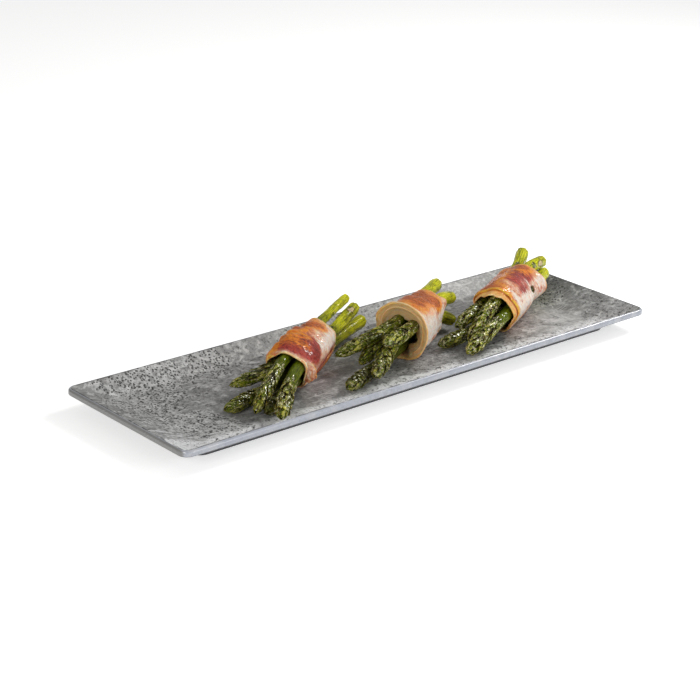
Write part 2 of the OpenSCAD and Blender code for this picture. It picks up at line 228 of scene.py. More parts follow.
# Each bundle has its place as shares of the tray, its turn, the length of its wrap and the room below it.
# A spear's row has its angle and place in the ring, shares of its thickness at the tip and at the cut end,
# and where the tip and the cut end lie, as shares of its length and thickness.
BUNDLES = {
    "left": Bundle("left", (-0.131, 0.071), 31, 76, 2.39, [
        (8, 1, (0.92, 0.95), (-0.336, 3.13, 0.88), (0.33, 1.17, 1.1)),
        (300, 1, (0.93, 0.98), (-0.518, 2.29, 0.55), (0.4, 0.17, 0.6)),
        (75, 1, (0.88, 0.66), (-0.495, 0.29, 0.55), (0.49, -0.21, 2.67)),
        (228, 1, (0.9, 0.95), (-0.49, -0.5, 0.55), (0.473, -1.58, 1.17)),
        (156, 1, (1, 0.9), (-0.541, -1.79, 0.79), (0.464, -1.04, 2.17)),
    ]),
    "middle": Bundle("middle", (0.0953, 0.0191), 28, 72, 2.83, [
        (64, 1, (0.95, 1), (-0.395, 3.375, 1.17), (0.364, 0.54, 2.5)),
        (352, 1, (0.95, 0.98), (-0.364, 1.74, 0.65), (0.318, 1.08, 1.5)),
        (280, 1, (0.95, 0.98), (-0.605, 1.04, 0.57), (0.318, 0.54, 0.62)),
        (0, 0, (1, 0.95), (-0.518, -0.42, 1.08), (0.332, -0.2, 1.25)),
        (136, 1, (0.95, 0.98), (-0.377, -0.08, 2.5), (0.305, -1, 2)),
        (208, 1, (0.95, 1), (-0.11, -0.9, 1.2), (0.236, -1.58, 0.67)),
    ]),
    "right": Bundle("right", (0.3157, 0.0074), 27, 84, 2.48, [
        (25, 1, (0.95, 1), (-0.382, 1.83, 1.375), (0.455, 1.5, 2.58)),
        (95, 1, (0.95, 0.98), (-0.432, 0.48, 0.68), (0.4, -0.42, 2.42)),
        (170, 1, (1.02, 0.9), (-0.541, -0.05, 0.65), (0.368, -0.85, 1.72)),
        (305, 1, (0.9, 0.95), (-0.501, 2.39, 0.55), (0.36, 1, 1)),
        (240, 1, (0.95, 0.98), (-0.2, -0.51, 0.73), (0.36, -0.36, 0.92)),
        (0, 0, (0.95, 0.95), (-0.164, 0, 1.5), (0.3, 0.08, 1.58)),
    ]),
}


def smooth(x):
    """Smooth step from 0 to 1."""
    x = np.clip(x, 0, 1)
    return x * x * (3 - 2 * x)


def wobble(a, b, seed, waves=6):
    """Smooth unevenness of about -1 to 1 over two coordinates."""
    rng = np.random.default_rng(seed)
    total = 0.0
    for _ in range(waves):
        fa, fb = rng.normal(size=2)
        total = total + np.sin(fa * a + fb * b + rng.uniform(0, 2 * math.pi))
    return total / math.sqrt(waves * 2)


def add_piece(name, points, faces, layers, material, body, node):
    """Makes one piece from points in metres, with its layers of values for the material."""
    mesh = bpy.data.meshes.new(name)
    mesh.from_pydata(points.tolist(), [], faces)
    mesh.polygons.foreach_set("use_smooth", [True] * len(mesh.polygons))
    for layer, values in layers.items():
        values = np.asarray(values, dtype=np.float32)
        kind, key = ("FLOAT_VECTOR", "vector") if values.ndim == 2 else ("FLOAT", "value")
        mesh.attributes.new(layer, kind, "POINT").data.foreach_set(key, values.ravel())
    mesh.materials.append(material)
    piece = bpy.data.objects.new(name, mesh)
    bpy.context.scene.collection.objects.link(piece)
    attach(piece, body)
    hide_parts(node)
    return piece


# Asparagus

# How dull the tip and the cut end of a spear are: partly their roasting, partly painted shade on spears and
# cut ends that lie in shadow
ROAST_AND_SHADE = {
    "left_spear_1": (0.7, 0), "left_spear_2": (1, 0), "left_spear_3": (0.3, 0), "left_spear_4": (1, 0),
    "left_spear_5": (0.2, 0), "middle_spear_1": (0.5, 0), "middle_spear_2": (0.5, 0),
    "middle_spear_3": (1, 0), "middle_spear_4": (0.35, 0.8), "middle_spear_6": (0.6, 0.8),
    "right_spear_1": (0.5, 0), "right_spear_4": (0.9, 0),
}
# Blisters near the cut end: distance from it, angle, and half their width and length
BLISTERS = {"left_spear_5": [(16, 2.1, 3.4, 6)], "right_spear_2": [(17, 2.8, 3.4, 7)]}

SPEAR_SIDES = 32
# Even rings of the skin: their step, and where they stop before the cut end
SKIN_STEP, CUT_START = 1.3, 4.3
# Rings of the rounded cut end: how far before the end they lie, and how far inside the skin.
# The last of them lie on its face.
CUT_BACK = np.array([4.2, 2.8, 1.7, 0.9, 0.35, 0, 0, 0.35, 0.6, 0.45])
CUT_DROP = np.array([0, 0.1, 0.35, 0.75, 1.3, 2.0, 2.9, 3.8, 4.6, 5.4])
CUT_FACE_RINGS = 5
# Ribs round a spear, coarse and fine, and how far they stand out
RIBS, RIB_RISE = 7, 0.2
FINE_RIBS, FINE_RIB_RISE = 13, 0.13
BLISTER_RISE = 0.5
# How far the middle of the cut end lies inside it, and the tip's point outside the first ring
CAP = 0.5

BRACT_ROWS, BRACT_COLUMNS = 9, 8
# A bract's thickness to each side at its edge, what its middle adds, and the least half of its width
BRACT_EDGE, BRACT_THICK, LEAST_HALF = 0.12, 0.3, 0.08
# Bracts on the tip: the first, how far they go on past the tip, and how they crowd
FIRST_BRACT, PAST_TIP, CROWDING = 3, 5, 1.08
# Bracts on the stem: where they start past the tip, their steps, how many, the bare end, and their size
STEM_FROM, STEM_STEPS, STEM_COUNT, STEM_END = 13, (10, 22), 14, 22
STEM_BRACT_L, STEM_BRACT_W = (8, 12), 5.6
# Least and most share of its even size and rise that a bract has
UNEVEN_SHARES, RISE_SHARES = (0.75, 1.3), (0.2, 1.5)
# How far past the tip its colour goes and how softly it ends, and the same before the cut end
TIP_COLOUR, TIP_SOFT = 10, 24
CUT_COLOUR, CUT_SOFT = 85, 75


class Stalk:
    """Places round one spear, by the distance from its tip, an angle and a height over its core."""

    def __init__(self, bundle, i):
        self.r, self.butt_r = bundle.radii[i], bundle.butt_radii[i]
        tip_u, butt_u = bundle.tips[i][0], bundle.butts[i][0]
        self.length = butt_u - tip_u
        self.run = np.linspace(0, self.length, 180)
        self.line = bundle.axis(i, tip_u + self.run)
        along = np.gradient(self.line, self.run, axis=0)
        self.along = along / np.linalg.norm(along, axis=1, keepdims=True)
        side = np.cross([0, 0, 1], self.along)
        self.side = side / np.linalg.norm(side, axis=1, keepdims=True)
        self.up = np.cross(self.along, self.side)

    def full(self, run):
        """Radius with the bracts."""
        tip = np.interp(run / TIP_L, TIP_SHARES[:, 0], TIP_SHARES[:, 1])
        neck = self.r * TIP_SHARES[-1, 1]
        stem = neck + (self.butt_r - neck) * np.clip((run - TIP_L) / (self.length - TIP_L), 0, 1)
        return np.where(run < TIP_L, self.r * tip, stem)

    def core(self, run):
        """Radius under the bracts."""
        return self.full(run) * (1 - 0.18 * smooth((TIP_L + 4 - run) / 16))

    def at(self, run, angle, height):
        """Places by the distance from the tip, the angle and the height over the core."""
        run = np.asarray(run, dtype=float)
        held = np.clip(run, 0, self.length)

        def mix(rows):
            return np.stack([np.interp(held, self.run, rows[:, k]) for k in range(3)], axis=-1)

        r = ((self.core(held) + height) * np.clip(1 + np.minimum(run, 0) / 3.2, 0.12, 1))[..., None]
        around = np.cos(angle)[..., None] * mix(self.side) + np.sin(angle)[..., None] * mix(self.up)
        return mix(self.line) + mix(self.along) * (run - held)[..., None] + r * around


def bract_faces():
    """Faces of a bract: its top, its underside and the strip between them."""
    rows, columns = BRACT_ROWS, BRACT_COLUMNS
    wide = columns + 1
    count = (rows + 1) * wide
    faces = []
    for p in range(rows):
        for k in range(p * wide, p * wide + columns):
            faces.append((k, k + 1, k + wide + 1, k + wide))
            faces.append((count + k, count + k + wide, count + k + wide + 1, count + k + 1))
    rim = [p * wide for p in range(rows + 1)] + [rows * wide + q for q in range(1, wide)]
    rim += [p * wide + columns for p in range(rows - 1, -1, -1)] + [q for q in range(columns - 1, 0, -1)]
    faces += [(here, there, count + there, count + here) for here, there in zip(rim, rim[1:] + rim[:1])]
    return faces


def bract_shells(stalk, place, turn, size, width, rise, curl, rng):
    """Bracts as closed shells. place is where each starts from the tip, and it points at the tip."""
    s = np.linspace(0, 1, BRACT_ROWS + 1)[None, :, None]
    c = np.linspace(-1, 1, BRACT_COLUMNS + 1)[None, None, :]
    place, turn, size, width, rise, curl = (x[:, None, None] for x in (place, turn, size, width, rise, curl))
    ragged = 1 + 0.16 * rng.normal(size=(place.shape[0], BRACT_ROWS + 1, 1))
    half = np.maximum(width / 2 * (0.8 + 0.4 * s) * (1 - s ** 2.2) * ragged, LEAST_HALF)
    run = place - size * s * (1 - 0.1 * c * c) + 0 * half
    core = stalk.core(np.clip(run, 0, None))
    angle = turn + half * c / np.maximum(core + 0.5, 1.4) + curl * 0.25 * s ** 2
    gap = stalk.full(np.clip(run, 0, None)) - core
    keel = 0.3 * (1 - abs(c)) ** 1.5 * (1 - s) * (1 + curl) * gap
    lift = 0.8 * gap * smooth(1.6 * s) + rise * s ** 1.7 + keel
    lift = lift + (0.07 + 0.12 * s) * np.sin(8 * c + 3 * turn) + 0.09 * rng.normal(size=lift.shape)
    thick = BRACT_EDGE + BRACT_THICK * (1 - c * c) * (1 - 0.5 * s)
    top = stalk.at(run, angle, lift + thick)
    under = stalk.at(run, angle, lift - BRACT_EDGE - BRACT_THICK * (1 - s) * (1 - c * c))
    values = {
        "run": np.clip(run, 0, None), "turn": angle,
        "leaf": np.broadcast_to(0.15 + 0.85 * s, run.shape),
        "leaf_edge": np.broadcast_to(np.maximum(abs(c), s ** 4), run.shape),
    }
    return top, under, values


def spear_skin(stalk, seed, blisters):
    """Ribbed skin from the tip, round the rim of the cut end and over its face."""
    length = stalk.length
    body = np.arange(0, length - CUT_START, SKIN_STEP)
    run = np.concatenate([body, length - CUT_BACK])
    theta = np.arange(SPEAR_SIDES) * 2 * math.pi / SPEAR_SIDES
    a, b = np.meshgrid(run, theta, indexing="ij")
    ribs = (RIB_RISE * np.sin(RIBS * b + 1.2 * np.sin(a / 17) + seed)
            + FINE_RIB_RISE * np.sin(FINE_RIBS * b + 2 * np.sin(a / 11)))
    shrivel = 0.3 * wobble(a / 6, 2 * b, seed)
    grit = 0.12 * wobble(a / 1.6, 4 * b, seed + 5)
    relief = (ribs + shrivel + grit) * (0.3 + 0.7 * smooth((a - 20) / 30))
    blister = np.zeros(a.shape)
    for away, angle, wide, long in blisters:
        around = (np.mod(b - angle + math.pi, 2 * math.pi) - math.pi) * stalk.butt_r
        blister = blister + np.exp(-(around / wide) ** 2 - ((a - (length - away)) / long) ** 2)
    relief += BLISTER_RISE * blister
    relief[len(body):] -= np.minimum(CUT_DROP, stalk.butt_r - 0.3)[:, None]
    face = len(run) - CUT_FACE_RINGS
    relief[face:] += 0.2 * wobble(3 * a[face:], 3 * b[face:], seed + 1)
    end = stalk.at(np.array([length - CAP]), np.zeros(1), np.array([-stalk.core(length)]))
    nose = stalk.at(np.array([-CAP]), np.zeros(1), np.array([-stalk.core(0)]))

    rings, sides, last = len(run), SPEAR_SIDES, len(run) * SPEAR_SIDES
    ring = [(j, (j + 1) % sides) for j in range(sides)]
    faces = [(k + j, k + sides + j, k + sides + after, k + after)
             for k in range(0, last - sides, sides) for j, after in ring]
    faces += [(last - sides + after, last - sides + j, last) for j, after in ring]
    faces += [(j, after, last + 1) for j, after in ring]
    on_face = np.repeat(np.arange(rings) >= face, sides)
    layers = {
        "run": [a.ravel(), [length, 0]], "turn": [b.ravel(), [0, 0]], "leaf": [np.zeros(last + 2)],
        "leaf_edge": [np.zeros(last + 2)], "tone": [np.full(last + 2, 0.5)], "cut_face": [on_face, [1, 0]],
        "blister": [blister.ravel(), [0, 0]],
    }
    return [stalk.at(a, b, relief).reshape(-1, 3), end, nose], faces, layers


def bract_plan(stalk, looks, seed, rng):
    """Bracts crowded over the tip in the order of a spiral, and far apart on the stem."""
    crowd = looks.tip_bracts
    place = FIRST_BRACT + (TIP_L + PAST_TIP) * (np.arange(crowd) / (crowd - 1)) ** CROWDING
    far = TIP_L + STEM_FROM + np.cumsum(rng.uniform(*STEM_STEPS, size=STEM_COUNT))
    place = np.concatenate([place, far[far < stalk.length - STEM_END]])
    count = len(place)
    on_tip = np.arange(count) < crowd
    turn = GOLDEN_ANGLE * np.arange(count) + seed + rng.normal(0, 0.2, count)
    size = np.where(on_tip, np.minimum(place + 2, 7 + 4 * place / TIP_L) * rng.uniform(*UNEVEN_SHARES, count),
                    rng.uniform(*STEM_BRACT_L, count))
    width = np.where(on_tip, 1.8 + 0.55 * stalk.full(place), STEM_BRACT_W)
    width *= rng.uniform(*UNEVEN_SHARES, count)
    share = np.where(on_tip, 0.1 + 0.9 * smooth((place - FIRST_BRACT) / 12), 0.5)
    rise = looks.bract_rise / MM * share * rng.uniform(*RISE_SHARES, count)
    rise *= 1 - 0.5 * smooth((place - TIP_L + 8) / 10)
    return place, turn, size, width, rise, rng.uniform(-1, 1, count)


def spear_piece(name, bundle, i, looks, material, seed):
    """One spear: a ribbed skin with a cut end, and bracts laid over it from the tip down."""
    stalk = Stalk(bundle, i)
    rng = np.random.default_rng(seed)
    points, faces, layers = spear_skin(stalk, seed, BLISTERS.get(name, ()))
    plan = bract_plan(stalk, looks, seed, rng)
    top, under, values = bract_shells(stalk, *plan, rng)
    count, grid = len(plan[0]), values["run"][0].size
    tone = np.clip(rng.normal(0.5, 0.28, count), 0, 1)
    start = sum(len(rows) for rows in points)
    bract = bract_faces()
    for k in range(count):
        points += [top[k].reshape(-1, 3), under[k].reshape(-1, 3)]
        faces += [tuple(start + v for v in face) for face in bract]
        start += 2 * grid
        for key, rows in layers.items():
            even = np.full(grid, tone[k] if key == "tone" else 0.0)
            value = values[key][k].ravel() if key in values else even
            rows += [value, value]
    layers = {key: np.concatenate(rows).astype(float) for key, rows in layers.items()}
    run, turn = layers.pop("run"), layers.pop("turn")
    layers["tipness"] = smooth((TIP_L + TIP_COLOUR - run) / TIP_SOFT)
    layers["buttness"] = smooth((run - stalk.length + CUT_COLOUR) / CUT_SOFT)
    # Dullness by roasting and by painted shade, from the tip to the cut end
    near_tip, near_butt = ROAST_AND_SHADE.get(name, (0, 0))
    layers["roast"] = near_tip + (near_butt - near_tip) * layers["buttness"]
    layers["grain"] = np.stack([run / 10, np.cos(turn) * 3, np.sin(turn) * 3 + seed * 7], axis=-1)
    return add_piece(name + "_roasted", bundle.placed(np.concatenate(points)), faces, layers, material,
                     bundle.name + "_bundle", name)


# Bacon

# The widths of spots round a wrap are measured at this distance from its middle
SPOT_R = 20.0
# In front of every wrap
NOWHERE = -99
# Thickness of the folds and the loose end as shares of the rasher's
FOLD_SHARE, TAIL_SHARE = 0.8, 0.9


class Sheet:
    """Collects patches of bacon, each a grid of middle points with a thickness, into one closed mesh."""

    def __init__(self):
        self.points, self.faces, self.count = [], [], 0
        self.layers = {"run": [], "across": [], "browned": [], "fatty": [], "cured": [], "inner": []}

    def patch(self, middle, thick, layers, keep=None, outward=None):
        """Adds a patch. keep says which cells it has, and outward which way its outer face looks."""
        rows, columns = middle.shape[:2]
        normal = np.cross(np.gradient(middle, axis=0), np.gradient(middle, axis=1))
        normal /= np.maximum(np.linalg.norm(normal, axis=-1, keepdims=True), 1e-9)
        flip = outward is not None and np.sum(normal * outward) < 0
        if flip:
            normal = -normal
        start, layer = self.count, rows * columns
        keep = np.ones((rows - 1, columns - 1), bool) if keep is None else keep

        def add(face):
            self.faces.append(tuple(reversed(face)) if flip else face)

        for p, q in zip(*np.nonzero(keep)):
            a = int(start + p * columns + q)
            b, c, d = a + columns, a + columns + 1, a + 1
            add((a, b, c, d))
            add((a + layer, d + layer, c + layer, b + layer))
            sides = ((a, d, (p - 1, q)), (c, b, (p + 1, q)), (b, a, (p, q - 1)), (d, c, (p, q + 1)))
            for near, far, (row, column) in sides:
                inside = 0 <= row < rows - 1 and 0 <= column < columns - 1 and keep[row, column]
                if not inside:
                    add((near, far, far + layer, near + layer))
        half = normal * thick[..., None] / 2
        self.points += [(middle + half).reshape(-1, 3), (middle - half).reshape(-1, 3)]
        for key, kept in self.layers.items():
            value = np.broadcast_to(layers.get(key, 0.0), (rows, columns)).ravel()
            kept += [value, value if key != "inner" else np.ones(layer)]
        self.count += 2 * layer

    def finish(self):
        """Points, faces and layers of all patches."""
        layers = {key: np.concatenate(value) for key, value in self.layers.items()}
        return np.concatenate(self.points), self.faces, layers


def away_from(angle, centre, r, wide):
    """Distance round the wrap from an angle, in half widths."""
    return (np.mod(angle - centre + 180, 360) - 180) * math.pi / 180 * r / wide


def spot(angle, u, spots):
    """Sum of soft spots, each (angle, u, half width round the wrap, half width along it, strength)."""
    total = np.zeros(np.broadcast(angle, u).shape)
    for a, b, wide, long, strength in spots:
        away = away_from(angle, a, SPOT_R, wide)
        total = total + strength * np.exp(-(away ** 2 + ((u - b) / long) ** 2))
    return total


def pulls(angle, rows):
    """Sum of soft pulls on an edge, each (angle, half width round the wrap, amount)."""
    return spot(angle, 0 * angle, [(a, 0, wide, 1, amount) for a, wide, amount in rows])


def over_spears(bundle, angle, u, plan):
    """Radius at which the bacon lies: drawn round the spears, slack at the top, and spread at a funnel."""
    phi = np.radians(angle)
    hull = bundle.reach(angle)
    open_share = smooth((u - plan.get("closed_at", NOWHERE)) / 14) * smooth((np.sin(phi) + 0.7) / 1.4)
    hull = hull + plan["round"] * open_share * (bundle.outline.max() - hull)
    at, slack = np.array(plan["slack"]).T
    r = hull + CLEARANCE + np.interp(u, at, slack) * (1 + np.sin(phi)) / 2
    if "funnel" in plan:
        funnel_angle, funnel_r = np.array(plan["funnel"]).T
        target = np.interp(np.mod(angle, 360), funnel_angle, funnel_r)
        share = np.clip((plan["funnel_from"] - u) / plan["funnel_l"], 0, 1.1) ** 1.3
        r = r + np.maximum(target - r, 0) * share
    return r


def edges_at(plan, t):
    """Where the front and the back edge of a rasher run, by the share of its length."""
    share, front, back = np.array(plan["edges"]).T
    return np.interp(t, share, front), np.interp(t, share, back)


def bacon_looks(angle, u, plan):
    """How browned, fatty and dark the bacon is at a place."""
    return {
        "browned": np.clip(spot(angle, u, plan["browned"]) + plan["brown"], 0, 1.3),
        "fatty": np.clip(spot(angle, u, plan["fatty"]) + plan.get("pale", 0), -1, 1.2),
        "cured": np.clip(spot(angle, u, plan["cured"]), 0, 1.2),
    }


def wind(bundle, sheet, plan, thickness, seed):
    """A rasher wound round a bundle. plan says where it starts, how it turns, and where its edges run."""
    rows, columns = 250, 44
    t = np.linspace(0, 1, rows)[:, None]
    q = np.linspace(0, 1, columns)[None, :]
    angle = plan["start"] + plan["turns"] * 360 * t + 0 * q
    phi = np.radians(angle)
    rim = abs(2 * q - 1)

    # Along the bundle: wavy edges, pulled and frilled in places
    front, back = edges_at(plan, t)
    u = front + (back - front) * q + plan["wave"] * rim ** 2 * wobble(2.2 * phi, 3 * q, seed)
    u = u + q ** 4 * pulls(angle, plan.get("back_pulls", ()))
    u = u + 0.5 * rim ** 10 * wobble(14 * phi, 5 * q, seed + 8)
    frill = (1 - q) ** 6 * (t < 0.45) * pulls(angle, plan.get("frills", ()))
    u = u - frill * (0.4 + abs(np.sin(6.5 * phi + 0.8 * np.sin(3 * phi))))

    # Away from the spears: over the turn below, with bumps, creases and ruffled edges
    before = t - 1 / abs(plan["turns"])
    front_before, back_before = edges_at(plan, before)
    inside = np.minimum(u - front_before, back_before - u)
    lift = np.where(before > 0, thickness * 1.05 * smooth((inside + 3.5) / 6), 0)
    lift = lift * (1 - 0.3 * rim ** 6)
    r = over_spears(bundle, angle, u, plan) + thickness / 2 + lift
    r = r + spot(angle, u, plan["bumps"])
    open_share = 0.25 + 0.75 * smooth((u - plan.get("closed_at", NOWHERE) - 2) / 8)
    loose = (0.35 + 0.65 * smooth((np.sin(phi) + 0.8) / 1.2)) * open_share
    wrinkle = (0.5 * wobble(3.1 * phi, u / 8, seed + 1) + 0.42 * wobble(7 * phi, u / 5, seed + 2)
               + 0.16 * wobble(15 * phi, u / 2.2, seed + 4))
    r = r + wrinkle * loose * plan["wrinkles"]
    r = r + plan["ruffle"] * rim ** 5 * (wobble(8 * phi, 0 * u, seed + 3) + 0.3) * loose
    r = r - 0.5 * frill * (0.6 + wobble(9 * phi, 0 * u, seed + 6))
    r = np.maximum(r, bundle.reach(angle) + CLEARANCE + thickness / 2 + lift * 0.9)

    thin_below = 1 - 0.42 * smooth((-np.sin(phi) - 0.35) / 0.5)
    thick = thickness * thin_below * (1 - 0.62 * rim ** 6) * (1 - 0.5 * np.abs(2 * t - 1) ** 60)
    w = np.maximum(bundle.belt + r * np.sin(phi), CLEARANCE + thick / 2 + 0.45 * lift)
    middle = np.stack([u + 0 * w, r * np.cos(phi), w], axis=-1)
    outward = np.stack([0 * u, np.cos(phi) + 0 * u, np.sin(phi) + 0 * u], axis=-1)
    keep = np.ones((rows - 1, columns - 1), bool)
    for a, b, wide, long in plan.get("holes", ()):
        keep &= ~(away_from(angle, a, r, wide) ** 2 + ((u - b) / long) ** 2 < 1)[:-1, :-1]
    layers = bacon_looks(angle, u, plan)
    # Where lined_at is given, the front of the rasher's first part takes the inner colour, partly painted
    # light
    layers["inner"] = 0.85 * smooth((plan.get("lined_at", NOWHERE) - u) / 1.5) * (t < 0.6)
    layers["run"] = np.radians(np.abs(angle - plan["start"])) * 20 + seed * 37
    layers["across"] = q + 0 * t
    sheet.patch(middle, thick + 0 * u, layers, keep, outward)


def lining(bundle, sheet, plan, fold, thickness, seed):
    """A fold of the rasher inside its mouth, from under the rim in towards the spears."""
    rows, columns = 120, 16
    p = np.linspace(0, 1, columns)[None, :]
    angle = np.linspace(*fold["angles"], rows)[:, None] + 0 * p
    phi = np.radians(angle)
    front, back = fold["u"]
    u = front + (back - front) * p + 0.7 * wobble(3 * phi, 2 * p, seed)
    outer = over_spears(bundle, angle, u * 0 + front, plan) - fold["under"]
    inner = bundle.reach(angle) + CLEARANCE + thickness / 2 - fold.get("pressed", 0)
    r = outer + (inner - outer) * p ** fold["bow"]
    r = np.maximum(r + 0.35 * wobble(6 * phi, 3 * p, seed + 1) * (1 - p), inner)
    w = np.maximum(bundle.belt + r * np.sin(phi), CLEARANCE + thickness / 2)
    middle = np.stack([u + 0 * w, r * np.cos(phi), w], axis=-1)
    outward = np.stack([0 * u, np.cos(phi), np.sin(phi)], axis=-1)
    ends = 1 - np.abs(np.linspace(-1, 1, rows)[:, None]) ** 20
    layers = {"run": phi * 20 + seed, "across": 0.06 + 0.5 * p + 0 * phi, "fatty": fold["fatty"],
              "browned": fold["browned"], "inner": 1.0}
    sheet.patch(middle, thickness * (0.35 + 0.55 * ends) + 0 * u, layers, None, outward)


def loose_end(sheet, line, across, widths, thickness, seed, browned, fatty, cured, curl):
    """A free end of a rasher along a line of places, as wide as widths says."""
    line, across = np.array(line, float), np.array(across, float)
    widths = np.array(widths, float)[:, None]
    rows, columns = 72, 18
    x = np.linspace(0, len(line) - 1, rows)

    def curve(table):
        """Catmull-Rom curve through the rows of a table."""
        k = np.clip(np.floor(x).astype(int), 0, len(line) - 2)
        f = (x - k)[:, None]
        p = [table[np.clip(k + d, 0, len(line) - 1)] for d in (-1, 0, 1, 2)]
        return 0.5 * (2 * p[1] + (p[2] - p[0]) * f + (2 * p[0] - 5 * p[1] + 4 * p[2] - p[3]) * f ** 2
                      + (3 * p[1] - p[0] - 3 * p[2] + p[3]) * f ** 3)

    centre, cross, wide = curve(line), curve(across), np.maximum(curve(widths), 0.6)
    cross = cross / np.linalg.norm(cross, axis=1, keepdims=True)
    normal = np.cross(np.gradient(centre, axis=0), cross)
    normal /= np.linalg.norm(normal, axis=1, keepdims=True)
    x = x[:, None]
    q = np.linspace(-1, 1, columns)[None, :]
    bow = curl * q ** 2 + 0.6 * wobble(x * 2.1, 2 * q, seed) + 0.6 * wobble(x * 3, 6 * q, seed + 2)
    out = wide * (q + 0.06 * wobble(4 * x, 0 * q, seed + 1)) / 2
    middle = centre[:, None] + cross[:, None] * out[..., None] + normal[:, None] * bow[..., None]
    share = x / x[-1]
    thick = thickness * (1 - 0.5 * q ** 6) * (1 - 0.5 * share ** 14)
    layers = {
        "run": x * 9 + seed * 11 + 0 * q, "across": (q + 1) / 2 + 0 * x,
        "browned": browned * (0.35 + 0.65 * np.maximum(abs(q), share) ** 2), "fatty": fatty, "cured": cured,
    }
    sheet.patch(middle, thick, layers)


